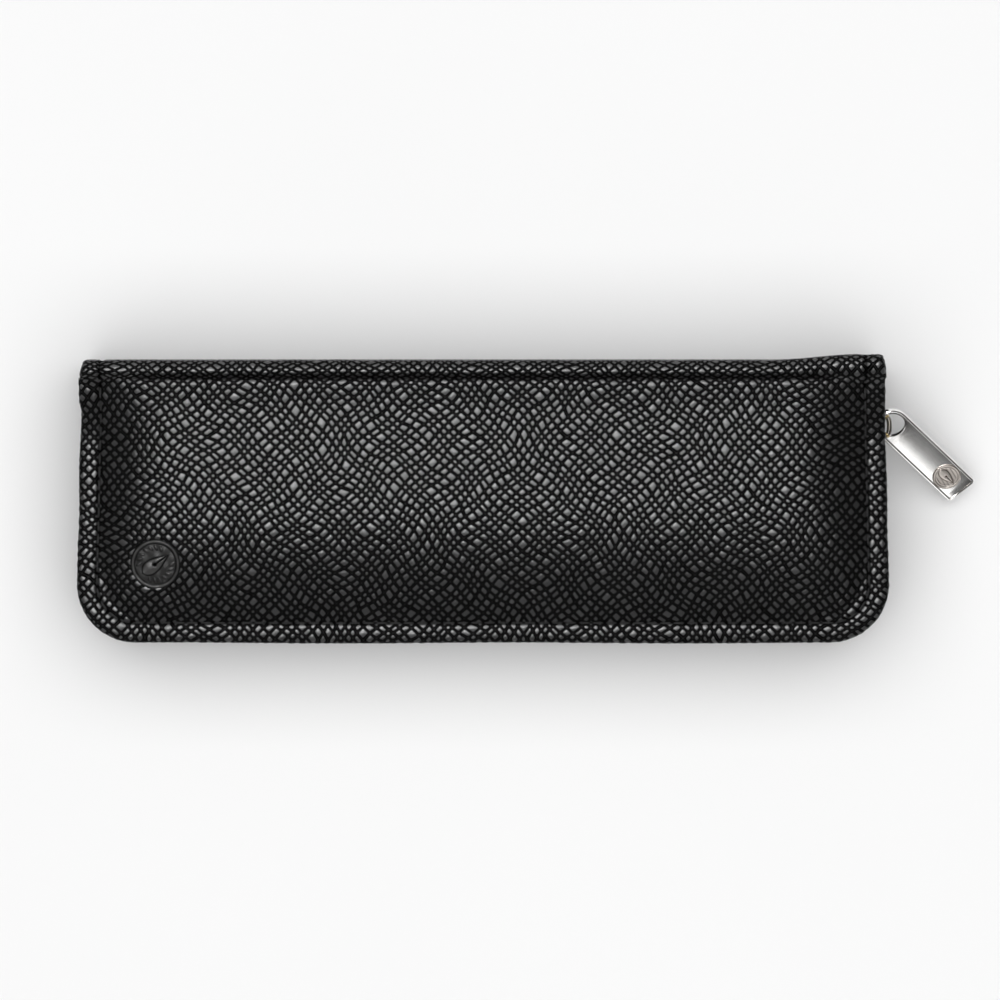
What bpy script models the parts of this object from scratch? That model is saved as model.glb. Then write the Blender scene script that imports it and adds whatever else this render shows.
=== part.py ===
"""Zip-around leather case for two fountain pens, lying closed on its back cover.

+X runs along the case, +Y points to the spine and +Z up. The origin is on the
surface that the case lies on, under the middle of the case. Lengths below are in
millimetres and are turned into metres by MM.
"""

import math

import bmesh
import bpy
from mathutils import Matrix, Vector

MM = 0.001
GAP = 0.3                      # clearance between touching pieces

# Driving dimensions of the closed case
CASE_LENGTH = 165.4            # along X at the free corners
SPINE_LENGTH = 163.4           # along X at the spine
CASE_DEPTH = 57.4              # along Y, spine to free edge
CASE_HEIGHT = 25.0             # along Z
CORNER_RADIUS = 12.0

FREE_EDGE_Y = -CASE_DEPTH / 2
SPINE_Y = CASE_DEPTH / 2
MID_Z = CASE_HEIGHT / 2
TOP_Z = CASE_HEIGHT

# Padded panel: flat rim, stitched groove, curved slope and flat top
RIM_Z = MID_Z + 7.0
RIM_HEIGHT = 2.2
RIM_ROUNDING = 0.5
GROOVE_INSET = 3.6
GROOVE_WIDTH = 0.9
GROOVE_DEPTH = 0.6
FOLD_EASE = 0.2                # how much rounder the inside of a fold is
GROOVE_LEAN = 0.15             # how far the groove's sides lean
SLOPE_INSET = 4.7
SLOPE_WIDTH_X = {"front": 16.0, "back": 8.0}      # the back is flattened by lying on it
SLOPE_WIDTH_Y = {"front": 24.0, "back": 11.5}
SLOPE_POWER = {"front": 2.4, "back": 1.9}
SLOPE_STEPS = 7
SMALLEST_RADIUS = 4.0
ARC_STEPS = 8
LAYER_START = {"front": 0.30, "back": 0.55}       # where on the slope the inner layers begin
LAYER_END_Y = 23.6
FLARE_START_Y = 12.0           # from here the rim rises towards the spine
FLARE_STEPS = 4
SPINE_LIFT = 3.2

# Thickness of each layer of a panel
LEATHER = 1.0
PADDING = 1.8
BOARD = 0.8
LINING = 0.6

# Spine: leather rolls on the hinge lines, with a flat band between them
ROLL_RADIUS = 1.5
HINGE_Y = SPINE_Y - ROLL_RADIUS
HINGE_Z_BACK = ROLL_RADIUS
HINGE_Z_FRONT = CASE_HEIGHT - ROLL_RADIUS
PANEL_END_Y = 24.9
SPINE_LAYER_STEP = 1.5         # how much shorter the board and lining are at each end
HINGE_STRIP_DROP = 1.5
STRIP_OVERLAP = 0.2            # how far the hinge strip runs into the panel's end wall

# Zip wall around three sides
WALL_X = 76.6
WALL_Y = FREE_EDGE_Y + 5.3
WALL_RADIUS = 7.5
WALL_INSET = CASE_LENGTH / 2 - WALL_X
TAPE_THICKNESS = 0.5
TAPE_FLANGE = 2.5
TAPE_END_Y = 22.0
CHAIN_HALF_WIDTH = 1.05
CHAIN_ROOT = 2.5               # from the mid plane out to the edge of the tape
CHAIN_VALLEY = 1.3
CHAIN_TIP = 0.5
TOOTH_PITCH = 3.2
TOOTH_FLANK = 0.35
TOOTH_LAND = 1.2
CHAIN_END_RIGHT_Y = 19.9
CHAIN_END_LEFT_Y = 17.6
TOP_STOP_TIP = 0.6
TOP_STOP_LENGTH = 1.4
TOP_STOP_HALF_WIDTH = 1.2
BOTTOM_STOP_CLEARANCE = 1.2
BOTTOM_STOP_LENGTH = 2.6
BOTTOM_STOP_TOP = 0.9
BOTTOM_STOP_HALF_WIDTH = 1.3
STOP_ROUNDING = 0.2

# Slider, its crown and the puller
SLIDER_Y = 15.5
SLIDER_LENGTH = 8.6
SLIDER_HALF_HEIGHT = 3.4
SLIDER_CHANNEL = 1.35
SLIDER_PLATE = 0.8
SLIDER_LIP = 0.6
SLIDER_LIP_REACH = 0.8
SLIDER_WEB = 0.4
WEB_SETBACK = 1.0              # from the slider's ends
LIP_SETBACK = 0.1
METAL_OVERLAP = 0.2            # how far joined solids run into each other
CROWN_BAR = 1.0
CROWN_HALF_LENGTH = 3.0
CROWN_TOP_X = 83.5
CROWN_SQUARENESS = 0.62
RING_RADIUS = 3.1
RING_WIDTH = 0.9
PULLER_LENGTH = 22.5           # ring centre to tip
PULLER_WIDTH = 7.05
PULLER_THICKNESS = 1.1
PULLER_CORNER = 0.9
PULLER_CENTRE = Vector((83.5, SLIDER_Y + 0.4, MID_Z))
PULLER_TILT = 32.0             # slope of the plate, in degrees
PULLER_TILT_LINE = 10.0        # heading of the level line in the plate
PULLER_HEADING = -42.6         # heading of the plate seen from above

# Pen loops on the back lining and the pocket on the front lining
LOOP_THICKNESS = 0.8
LOOP_WIDTH = 18.0
LOOP_SPAN = 14.2
LOOP_RISE = 12.2
LOOP_FOOT = 1.2
LOOP_X = 38.0
LOOP_Y_UPPER = 15.6
LOOP_Y_LOWER = -3.4
LOOP_STEPS = 10
POCKET_THICKNESS = 0.8
POCKET_LENGTH = 114.0
POCKET_DEPTH = 22.0
POCKET_Y = 11.5

THREAD_RADIUS = 0.22

# Colour, roughness and metallic value of each material
MATERIALS = {
    "cover_leather": ((0.018, 0.018, 0.019), 0.42, 0.0),
    "padding_foam": ((0.16, 0.16, 0.17), 0.95, 0.0),
    "stiffener_board": ((0.36, 0.29, 0.21), 0.85, 0.0),
    "lining_fabric": ((0.030, 0.030, 0.033), 0.88, 0.0),
    "zip_tape": ((0.014, 0.014, 0.015), 0.85, 0.0),
    "zip_metal": ((0.62, 0.52, 0.34), 0.30, 1.0),
    "slider_metal": ((0.30, 0.27, 0.22), 0.28, 1.0),
    "puller_metal": ((0.78, 0.77, 0.75), 0.16, 1.0),
    "thread": ((0.012, 0.012, 0.013), 0.60, 0.0),
    "elastic": ((0.020, 0.020, 0.022), 0.80, 0.0),
}


def clear_scene():
    for old in list(bpy.data.objects):
        bpy.data.objects.remove(old, do_unlink=True)


def make_collection(name):
    collection = bpy.data.collections.new(name)
    bpy.context.scene.collection.children.link(collection)
    return collection


def make_material(name):
    colour, roughness, metallic = MATERIALS[name]
    material = bpy.data.materials.new(name)
    material.use_nodes = True
    shader = material.node_tree.nodes["Principled BSDF"]
    shader.inputs["Base Color"].default_value = (*colour, 1.0)
    shader.inputs["Roughness"].default_value = roughness
    shader.inputs["Metallic"].default_value = metallic
    return material


def add_object(name, mesh, material):
    mesh.materials.clear()
    mesh.materials.append(material)
    mesh.shade_smooth()
    mesh.set_sharp_from_angle(angle=math.radians(35))
    piece = bpy.data.objects.new(name, mesh)
    PARTS.objects.link(piece)
    return piece


def mesh_from(bm, name):
    bmesh.ops.recalc_face_normals(bm, faces=bm.faces)
    mesh = bpy.data.meshes.new(name)
    bm.to_mesh(mesh)
    bm.free()
    return mesh


def side_z(z, side):
    """Height for the front half, or its mirror in the mid plane for the back."""
    return z if side == "front" else CASE_HEIGHT - z


# Outlines -----------------------------------------------------------------


def side_points(top_half, low_half, low_y, top_y):
    """Points on one side, from the spine end down to the corner."""
    steps = [top_y - (top_y - FLARE_START_Y) * i / FLARE_STEPS for i in range(FLARE_STEPS + 1)]
    return [(top_half + (low_half - top_half) * (top_y - y) / (top_y - low_y), y) for y in steps]


def u_outline(top_half, low_half, free_y, radius, top_y):
    """Open outline: down the left side, along the free edge and up the right side."""
    side = side_points(top_half, low_half, free_y + radius, top_y)
    points = [(-x, y) for x, y in side]
    for sign, start in ((-1, math.pi), (1, 1.5 * math.pi)):
        centre = Vector((sign * (low_half - radius), free_y + radius))
        for step in range(ARC_STEPS + 1):
            angle = start + 0.5 * math.pi * step / ARC_STEPS
            points.append(tuple(centre + radius * Vector((math.cos(angle), math.sin(angle)))))
    return points + side[::-1]


def rim_lift(y):
    """Rise of the rim towards the spine, where the two halves stand further apart."""
    share = min(max((y - FLARE_START_Y) / (PANEL_END_Y - FLARE_START_Y), 0.0), 1.0)
    return SPINE_LIFT * share * share * (3 - 2 * share)


def panel_ring(inset_x, inset_y, rim_share, height, side, end_y=PANEL_END_Y):
    """Outline of the case drawn in by an inset, at a height plus a share of the rim's height."""
    radius = max(CORNER_RADIUS - 0.5 * (inset_x + inset_y), SMALLEST_RADIUS)
    flat = u_outline(
        SPINE_LENGTH / 2 - inset_x,
        CASE_LENGTH / 2 - inset_x,
        FREE_EDGE_Y + inset_y,
        radius,
        end_y,
    )
    ring = []
    for x, y in flat:
        z = height + rim_share * (RIM_Z + rim_lift(y))
        ring.append(Vector((x, y, side_z(z, side))) * MM)
    return ring


def edge_ring(inset, z, side, end_y=PANEL_END_Y):
    """Outline at one height from the rim, given as the height away from the spine."""
    return panel_ring(inset, inset, 1.0, z - RIM_Z, side, end_y)


def wall_ring(inset, z, side, follows_rim):
    """Outline of the zip wall drawn in by an inset."""
    flat = u_outline(
        WALL_X - inset,
        WALL_X - inset,
        WALL_Y + inset,
        max(WALL_RADIUS - inset, SMALLEST_RADIUS),
        TAPE_END_Y,
    )
    ring = []
    for x, y in flat:
        lift = rim_lift(y) if follows_rim else 0.0
        ring.append(Vector((x, y, side_z(z + lift, side))) * MM)
    return ring


def dome_share(share, side):
    """Share of the panel's rise that is reached at a share of the slope's width."""
    return 1.0 - (1.0 - share) ** SLOPE_POWER[side]


def slope_rings(start, drop, side, end_y=PANEL_END_Y):
    """Rings that climb the slope from a share of its width to the flat top."""
    rings = []
    for step in range(SLOPE_STEPS + 1):
        share = start + (1 - start) * step / SLOPE_STEPS
        rise = dome_share(share, side)
        inset_x = SLOPE_INSET + share * SLOPE_WIDTH_X[side]
        inset_y = SLOPE_INSET + share * SLOPE_WIDTH_Y[side]
        low = 1.0 - rise
        high = rise * TOP_Z - drop
        rings.append(panel_ring(inset_x, inset_y, low, high, side, end_y))
    return rings


# Solids -------------------------------------------------------------------


def surface_from_rings(bm, rings, closed_top):
    rows = [[bm.verts.new(point) for point in ring] for ring in rings]
    for lower, upper in zip(rows, rows[1:]):
        for i in range(len(lower) - 1):
            bm.faces.new((lower[i], lower[i + 1], upper[i + 1], upper[i]))
    if closed_top:
        bm.faces.new(rows[-1])


def shell(name, outer_rings, inner_rings, material):
    """Closed shell between two ringed surfaces that match ring for ring."""
    bm = bmesh.new()
    surface_from_rings(bm, outer_rings, True)
    surface_from_rings(bm, inner_rings, True)
    bm.verts.ensure_lookup_table()
    width = len(outer_rings[0])
    shift = width * len(outer_rings)
    border = [(i, i + 1) for i in range(width - 1)]
    for end in (0, width - 1):
        border += [(row * width + end, (row + 1) * width + end) for row in range(len(outer_rings) - 1)]
    border.append((shift - width, shift - 1))
    for a, b in border:
        bm.faces.new([bm.verts[i] for i in (a, b, b + shift, a + shift)])
    return add_object(name, mesh_from(bm, name), material)


def tray(name, rings, thickness, side, material):
    """Shell under a ringed surface, of one thickness along Z."""
    inward = -thickness if side == "front" else thickness
    inner = [[point + Vector((0, 0, inward * MM)) for point in ring] for ring in rings]
    return shell(name, rings, inner, material)


def ribbon(name, rings, thickness, material):
    """Thin strip that follows a ringed surface on both its sides."""
    bm = bmesh.new()
    surface_from_rings(bm, rings, False)
    piece = add_object(name, mesh_from(bm, name), material)
    solidify = piece.modifiers.new("thickness", "SOLIDIFY")
    solidify.thickness = thickness * MM
    solidify.offset = 0.0
    solidify.use_even_offset = True
    return piece


def box(name, low, high, material, bevel=0.0):
    low = Vector(low)
    high = Vector(high)
    bm = bmesh.new()
    bmesh.ops.create_cube(bm, size=1.0)
    size = (high - low) * MM
    bmesh.ops.scale(bm, verts=bm.verts, vec=size)
    bmesh.ops.translate(bm, verts=bm.verts, vec=(low + high) * 0.5 * MM)
    piece = add_object(name, mesh_from(bm, name), material)
    if bevel:
        rounding = piece.modifiers.new("rounding", "BEVEL")
        rounding.width = bevel * MM
        rounding.segments = 2
    return piece


def tube(name, points, radius, material, sides=2):
    """Solid wire along points given in metres."""
    curve = bpy.data.curves.new(name, "CURVE")
    curve.dimensions = "3D"
    curve.bevel_depth = radius * MM
    curve.bevel_resolution = sides
    curve.use_fill_caps = True
    spline = curve.splines.new("POLY")
    spline.points.add(len(points) - 1)
    for place, point in zip(spline.points, points):
        place.co = (*point, 1.0)
    return mesh_from_curve(name, curve, material)


def flat_plate(name, outlines, thickness, material):
    """Flat plate from closed outlines in the XY plane; later ones are holes."""
    curve = bpy.data.curves.new(name, "CURVE")
    curve.dimensions = "2D"
    curve.fill_mode = "BOTH"
    curve.extrude = 0.5 * thickness * MM
    for outline in outlines:
        spline = curve.splines.new("POLY")
        spline.use_cyclic_u = True
        spline.points.add(len(outline) - 1)
        for place, (x, y) in zip(spline.points, outline):
            place.co = (x * MM, y * MM, 0.0, 1.0)
    return mesh_from_curve(name, curve, material)


def mesh_from_curve(name, curve, material):
    guide = bpy.data.objects.new(name + "_guide", curve)
    PARTS.objects.link(guide)
    evaluated = guide.evaluated_get(bpy.context.evaluated_depsgraph_get())
    bm = bmesh.new()
    bm.from_mesh(bpy.data.meshes.new_from_object(evaluated))
    bmesh.ops.remove_doubles(bm, verts=bm.verts, dist=0.001 * MM)
    bpy.data.objects.remove(guide, do_unlink=True)
    return add_object(name, mesh_from(bm, name), material)


def join_by_union(piece, other):
    """Adds another solid to a piece and keeps it as a cutter."""
    PARTS.objects.unlink(other)
    CUTTERS.objects.link(other)
    other.hide_render = True
    other.display_type = "WIRE"
    union = piece.modifiers.new("join_" + other.name, "BOOLEAN")
    union.operation = "UNION"
    union.solver = "EXACT"
    union.object = other


# Panels -------------------------------------------------------------------


def edge_profile():
    """Inset and height of the turned edge, rim and groove, outside and inside."""
    low = RIM_Z - RIM_HEIGHT
    groove_z = RIM_Z - GROOVE_DEPTH
    groove_end = GROOVE_INSET + GROOVE_WIDTH
    return (
        ((RIM_ROUNDING, low), (LEATHER, low)),
        ((0.0, low + RIM_ROUNDING), (LEATHER, low + RIM_ROUNDING)),
        ((0.0, RIM_Z - RIM_ROUNDING), (LEATHER, RIM_Z - LEATHER - FOLD_EASE)),
        ((RIM_ROUNDING, RIM_Z), (LEATHER + FOLD_EASE, RIM_Z - LEATHER)),
        ((GROOVE_INSET, RIM_Z), (GROOVE_INSET - GROOVE_LEAN, RIM_Z - LEATHER)),
        ((GROOVE_INSET + GROOVE_LEAN, groove_z), (GROOVE_INSET, groove_z - LEATHER)),
        ((groove_end, groove_z), (groove_end + GROOVE_LEAN, groove_z - LEATHER)),
    )


def make_cover(side):
    """Leather panel with its end wall, hinge strip and the roll on the hinge line."""
    leather = LOOKS["cover_leather"]
    outer = [edge_ring(inset, z, side) for (inset, z), _ in edge_profile()]
    inner = [edge_ring(inset, z, side) for _, (inset, z) in edge_profile()]
    outer += slope_rings(0.0, 0.0, side)
    inner += slope_rings(0.0, LEATHER, side)
    cover = shell(side + "_cover", outer, inner, leather)
    join_by_union(cover, make_end_wall(side, leather))
    join_by_union(cover, make_hinge_strip(side, leather))
    hinge_z = side_z(HINGE_Z_FRONT, side)
    ends = [Vector((sign * SPINE_LENGTH / 2, HINGE_Y, hinge_z)) * MM for sign in (-1, 1)]
    join_by_union(cover, tube(side + "_spine_roll", ends, ROLL_RADIUS, leather, sides=4))
    return cover


def make_end_wall(side, leather):
    """Leather that closes the panel's padding towards the hinge groove."""
    rings = slope_rings(0.0, 0.4 * LEATHER, side)
    base = side_z(TOP_Z - HINGE_STRIP_DROP - LEATHER - GAP, side) * MM
    top = [ring[0] for ring in rings] + [ring[-1] for ring in rings[::-1]]
    bm = bmesh.new()
    rows = []
    for y in (PANEL_END_Y - LEATHER, PANEL_END_Y):
        row = [bm.verts.new((point.x, y * MM, point.z)) for point in top]
        row.append(bm.verts.new((top[-1].x, y * MM, base)))
        row.append(bm.verts.new((top[0].x, y * MM, base)))
        bm.faces.new(row)
        rows.append(row)
    count = len(rows[0])
    for i in range(count):
        j = (i + 1) % count
        bm.faces.new((rows[0][i], rows[0][j], rows[1][j], rows[1][i]))
    return add_object(side + "_end_wall", mesh_from(bm, side + "_end_wall"), leather)


def make_hinge_strip(side, leather):
    top = TOP_Z - HINGE_STRIP_DROP
    heights = sorted((side_z(top - LEATHER, side), side_z(top, side)))
    half = SPINE_LENGTH / 2 - STRIP_OVERLAP
    low = (-half, PANEL_END_Y - STRIP_OVERLAP, heights[0])
    high = (half, HINGE_Y, heights[1])
    return box(side + "_hinge_strip", low, high, leather)


def make_padding(side):
    rings = slope_rings(LAYER_START[side], LEATHER + GAP, side, LAYER_END_Y)
    return tray(side + "_padding", rings, PADDING, side, LOOKS["padding_foam"])


def make_board(side):
    rings = slope_rings(LAYER_START[side], LEATHER + PADDING + 2 * GAP, side, LAYER_END_Y)
    return tray(side + "_board", rings, BOARD, side, LOOKS["stiffener_board"])


def lining_drop():
    return LEATHER + PADDING + BOARD + 3 * GAP


def make_lining(side):
    """Inner skin: a rim under the tape, then up the inside of the panel."""
    rim_z = RIM_Z - LEATHER - TAPE_THICKNESS - 2 * GAP
    rim_start = WALL_INSET + 2 * GAP
    rim_end = WALL_INSET + TAPE_FLANGE + GAP
    rings = [edge_ring(inset, rim_z, side, LAYER_END_Y) for inset in (rim_start, rim_end)]
    rings += slope_rings(LAYER_START[side], lining_drop(), side, LAYER_END_Y)
    return tray(side + "_lining", rings, LINING, side, LOOKS["lining_fabric"])


def make_topstitch(side):
    inset = GROOVE_INSET + 0.5 * GROOVE_WIDTH
    z = RIM_Z - GROOVE_DEPTH + GAP + THREAD_RADIUS
    points = edge_ring(inset, z, side, LAYER_END_Y)
    return tube(side + "_topstitch", points, THREAD_RADIUS, LOOKS["thread"], sides=1)


# Zip ----------------------------------------------------------------------


def make_tape(side):
    """Tape that stands as the zip wall and is sewn flat under the rim."""
    low_z = MID_Z + CHAIN_ROOT + GAP
    flange_z = RIM_Z - LEATHER - GAP - 0.5 * TAPE_THICKNESS
    rings = [
        wall_ring(0.0, low_z, side, False),
        wall_ring(0.0, flange_z, side, True),
        wall_ring(TAPE_FLANGE, flange_z, side, True),
    ]
    return ribbon(side + "_zip_tape", rings, TAPE_THICKNESS, LOOKS["zip_tape"])


def wall_place(distance):
    """Place on the zip wall and outward direction, from the left end of the chain."""
    straight = CHAIN_END_LEFT_Y - (WALL_Y + WALL_RADIUS)
    arc = 0.5 * math.pi * WALL_RADIUS
    bottom = 2 * (WALL_X - WALL_RADIUS)
    if distance <= straight:
        return Vector((-WALL_X, CHAIN_END_LEFT_Y - distance)), Vector((-1, 0))
    distance -= straight
    for sign, start, run in ((-1, math.pi, bottom), (1, 1.5 * math.pi, None)):
        if distance <= arc:
            angle = start + distance / WALL_RADIUS
            outward = Vector((math.cos(angle), math.sin(angle)))
            centre = Vector((sign * (WALL_X - WALL_RADIUS), WALL_Y + WALL_RADIUS))
            return centre + WALL_RADIUS * outward, outward
        distance -= arc
        if run and distance <= run:
            return Vector((-WALL_X + WALL_RADIUS + distance, WALL_Y)), Vector((0, -1))
        distance -= run or 0
    return Vector((WALL_X, WALL_Y + WALL_RADIUS + distance)), Vector((1, 0))


def chain_length():
    left = CHAIN_END_LEFT_Y - (WALL_Y + WALL_RADIUS)
    right = CHAIN_END_RIGHT_Y - (WALL_Y + WALL_RADIUS)
    return left + right + math.pi * WALL_RADIUS + 2 * (WALL_X - WALL_RADIUS)


def make_chain(side):
    """Row of teeth on one cord, from the left end stop to the right end."""
    length = chain_length()
    count = int(length / TOOTH_PITCH)
    pitch = length / count
    stations = []
    for tooth in range(count):
        start = tooth * pitch
        stations.append((start, CHAIN_VALLEY))
        stations.append((start + TOOTH_FLANK, CHAIN_TIP))
        stations.append((start + TOOTH_FLANK + TOOTH_LAND, CHAIN_TIP))
        stations.append((start + 2 * TOOTH_FLANK + TOOTH_LAND, CHAIN_VALLEY))
    bm = bmesh.new()
    rows = []
    for distance, inner in stations:
        place, outward = wall_place(distance)
        row = []
        for across, away in ((1, inner), (1, CHAIN_ROOT), (-1, CHAIN_ROOT), (-1, inner)):
            flat = place + across * CHAIN_HALF_WIDTH * outward
            point = Vector((flat.x, flat.y, side_z(MID_Z + away, side))) * MM
            row.append(bm.verts.new(point))
        rows.append(row)
    for a, b in zip(rows, rows[1:]):
        for i in range(4):
            j = (i + 1) % 4
            bm.faces.new((a[i], a[j], b[j], b[i]))
    bm.faces.new(rows[0])
    bm.faces.new(rows[-1])
    return add_object(side + "_zip_chain", mesh_from(bm, side + "_zip_chain"), LOOKS["zip_metal"])


def make_top_stop(side):
    """Metal clamp past the last tooth, where the slider comes to rest."""
    heights = sorted((side_z(MID_Z + TOP_STOP_TIP, side), side_z(MID_Z + CHAIN_ROOT, side)))
    start = CHAIN_END_RIGHT_Y + GAP
    low = (WALL_X - TOP_STOP_HALF_WIDTH, start, heights[0])
    high = (WALL_X + TOP_STOP_HALF_WIDTH, start + TOP_STOP_LENGTH, heights[1])
    return box(side + "_top_stop", low, high, LOOKS["zip_metal"], bevel=STOP_ROUNDING)


def make_bottom_stop():
    """Metal box at the left end of the zip, held by the back tape."""
    start = CHAIN_END_LEFT_Y + BOTTOM_STOP_CLEARANCE
    low = (-WALL_X - BOTTOM_STOP_HALF_WIDTH, start, MID_Z - CHAIN_ROOT)
    high = (
        -WALL_X + BOTTOM_STOP_HALF_WIDTH,
        start + BOTTOM_STOP_LENGTH,
        MID_Z + BOTTOM_STOP_TOP,
    )
    return box("bottom_stop", low, high, LOOKS["zip_metal"], bevel=STOP_ROUNDING)


# Slider and puller --------------------------------------------------------


def make_slider():
    """Two plates joined by a web between the chains, with lips behind the back chain."""
    metal = LOOKS["slider_metal"]
    outer = SLIDER_CHANNEL + SLIDER_PLATE
    half = SLIDER_LENGTH / 2
    y_low = SLIDER_Y - half
    y_high = SLIDER_Y + half
    z_low = MID_Z - SLIDER_HALF_HEIGHT
    z_high = MID_Z + SLIDER_HALF_HEIGHT
    slider = box(
        "slider_body",
        (WALL_X + SLIDER_CHANNEL, y_low, z_low),
        (WALL_X + outer, y_high, z_high),
        metal,
    )
    inner_plate = box(
        "slider_inner_plate",
        (WALL_X - outer, y_low, z_low),
        (WALL_X - SLIDER_CHANNEL, y_high, z_high),
        metal,
    )
    web = box(
        "slider_web",
        (WALL_X - outer + METAL_OVERLAP, y_low + WEB_SETBACK, MID_Z - SLIDER_WEB / 2),
        (WALL_X + outer - METAL_OVERLAP, y_high - WEB_SETBACK, MID_Z + SLIDER_WEB / 2),
        metal,
    )
    join_by_union(slider, web)
    join_by_union(slider, inner_plate)
    for sign in (-1, 1):
        tip = SLIDER_CHANNEL - SLIDER_LIP_REACH
        reach = sorted((sign * (outer - METAL_OVERLAP), sign * tip))
        lip = box(
            "slider_lip_outer" if sign > 0 else "slider_lip_inner",
            (WALL_X + reach[0], y_low + LIP_SETBACK, z_low),
            (WALL_X + reach[1], y_high - LIP_SETBACK, z_low + SLIDER_LIP),
            metal,
        )
        join_by_union(slider, lip)
    return slider


def make_crown():
    """Arched bar on the slider that the puller's ring hangs in."""
    foot_x = WALL_X + SLIDER_CHANNEL + SLIDER_PLATE + GAP
    top_x = CROWN_TOP_X - CROWN_BAR / 2
    half = CROWN_HALF_LENGTH - CROWN_BAR / 2
    steps = 20
    points = []
    for step in range(steps + 1):
        angle = math.pi * step / steps
        rise = abs(math.sin(angle)) ** CROWN_SQUARENESS
        along = math.copysign(abs(math.cos(angle)) ** CROWN_SQUARENESS, math.cos(angle))
        x = foot_x + (top_x - foot_x) * rise
        points.append(Vector((x, SLIDER_Y + half * along, MID_Z)) * MM)
    return tube("slider_crown", points, CROWN_BAR / 2, LOOKS["slider_metal"], sides=2)


def puller_axes():
    """Directions along the plate, across it and out of its face."""
    tilt = math.radians(PULLER_TILT)
    line = math.radians(PULLER_TILT_LINE)
    heading = math.radians(PULLER_HEADING)
    level = Vector((math.cos(line), math.sin(line), 0))
    level_side = Vector((-math.sin(line), math.cos(line), 0))
    climb = level_side * math.cos(tilt) + Vector((0, 0, math.sin(tilt)))
    seen = Vector((math.cos(heading), math.sin(heading), 0))
    along = (seen.dot(level) * level + seen.dot(level_side) / math.cos(tilt) * climb).normalized()
    face = level.cross(climb).normalized()
    return along, face.cross(along), face


def puller_outline():
    """Round head, straight sides and two rounded corners at the tip."""
    half = PULLER_WIDTH / 2
    outline = []
    steps = 16
    for step in range(steps + 1):
        angle = 0.5 * math.pi + math.pi * step / steps
        outline.append((half * math.cos(angle), half * math.sin(angle)))
    for sign, start in ((-1, -0.5 * math.pi), (1, 0.0)):
        centre_x = PULLER_LENGTH - PULLER_CORNER
        centre_y = sign * (half - PULLER_CORNER)
        for step in range(4):
            angle = start + 0.5 * math.pi * step / 3
            x = centre_x + PULLER_CORNER * math.cos(angle)
            outline.append((x, centre_y + PULLER_CORNER * math.sin(angle)))
    return outline


def make_puller():
    """Flat plate whose head is a ring around the crown."""
    hole_radius = RING_RADIUS - RING_WIDTH / 2
    steps = 28
    hole = []
    for step in range(steps):
        angle = 2 * math.pi * step / steps
        hole.append((hole_radius * math.cos(angle), hole_radius * math.sin(angle)))
    puller = flat_plate("puller", (puller_outline(), hole), PULLER_THICKNESS, LOOKS["puller_metal"])
    along, across, face = puller_axes()
    turn = Matrix((along, across, face)).transposed().to_4x4()
    puller.matrix_world = Matrix.Translation(PULLER_CENTRE * MM) @ turn
    return puller


# Spine and inside ---------------------------------------------------------


def make_spine():
    """Flat band between the two rolls: leather, stiffener and lining."""
    z_low = HINGE_Z_BACK + ROLL_RADIUS + GAP
    z_high = HINGE_Z_FRONT - ROLL_RADIUS - GAP
    half = SPINE_LENGTH / 2
    y = SPINE_Y
    layers = (
        ("spine_cover", LEATHER, half, 0.0, "cover_leather"),
        ("spine_board", BOARD, half - SPINE_LAYER_STEP, 1.0, "stiffener_board"),
        ("spine_lining", LINING, half - SPINE_LAYER_STEP, 0.5, "lining_fabric"),
    )
    for name, thickness, half_length, margin, look in layers:
        low = (-half_length, y - thickness, z_low + margin)
        high = (half_length, y, z_high - margin)
        box(name, low, high, LOOKS[look])
        y -= thickness + GAP


def lining_face_z():
    """Height of the back lining's face inside the case."""
    return lining_drop() + LINING


def make_loop(name, centre_x, centre_y):
    """Elastic loop: two feet on the lining and an arch for one pen."""
    base = lining_face_z() + GAP + LOOP_THICKNESS / 2
    half = LOOP_SPAN / 2
    straight = LOOP_RISE - half
    profile = [(-half - LOOP_FOOT, base), (-half, base)]
    for step in range(LOOP_STEPS + 1):
        angle = math.pi * (1 - step / LOOP_STEPS)
        profile.append((half * math.cos(angle), base + straight + half * math.sin(angle)))
    profile += [(half, base), (half + LOOP_FOOT, base)]
    rings = []
    for sign in (-1, 1):
        x = centre_x + sign * LOOP_WIDTH / 2
        rings.append([Vector((x, centre_y + y, z)) * MM for y, z in profile])
    return ribbon(name, rings, LOOP_THICKNESS, LOOKS["elastic"])


def make_pocket():
    """Slip pocket laid on the front lining."""
    face = CASE_HEIGHT - lining_face_z() - GAP
    low = (-POCKET_LENGTH / 2, POCKET_Y - POCKET_DEPTH / 2, face - POCKET_THICKNESS)
    high = (POCKET_LENGTH / 2, POCKET_Y + POCKET_DEPTH / 2, face)
    return box("front_pocket", low, high, LOOKS["lining_fabric"], bevel=0.2)


def build():
    for side in ("back", "front"):
        make_cover(side)
        make_padding(side)
        make_board(side)
        make_lining(side)
        make_topstitch(side)
        make_tape(side)
        make_chain(side)
        make_top_stop(side)
    make_bottom_stop()
    make_spine()
    make_slider()
    make_crown()
    make_puller()
    make_pocket()
    for end, sign in (("left", -1), ("right", 1)):
        make_loop("upper_pen_loop_" + end, sign * LOOP_X, LOOP_Y_UPPER)
        make_loop("lower_pen_loop_" + end, sign * LOOP_X, LOOP_Y_LOWER)


clear_scene()
PARTS = make_collection("fountain_pen_case")
CUTTERS = make_collection("cutters")
CUTTERS.hide_render = True
LOOKS = {name: make_material(name) for name in MATERIALS}
build()
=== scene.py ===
"""Zip-around leather pen case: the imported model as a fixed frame, with detailed pieces round it.

Frame: +X along the case, +Y to the spine, +Z up. Working lengths are in millimetres
and become metres where a mesh is made.
"""

import math

import bmesh
import bpy
import numpy as np
from mathutils import Matrix, Vector


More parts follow.
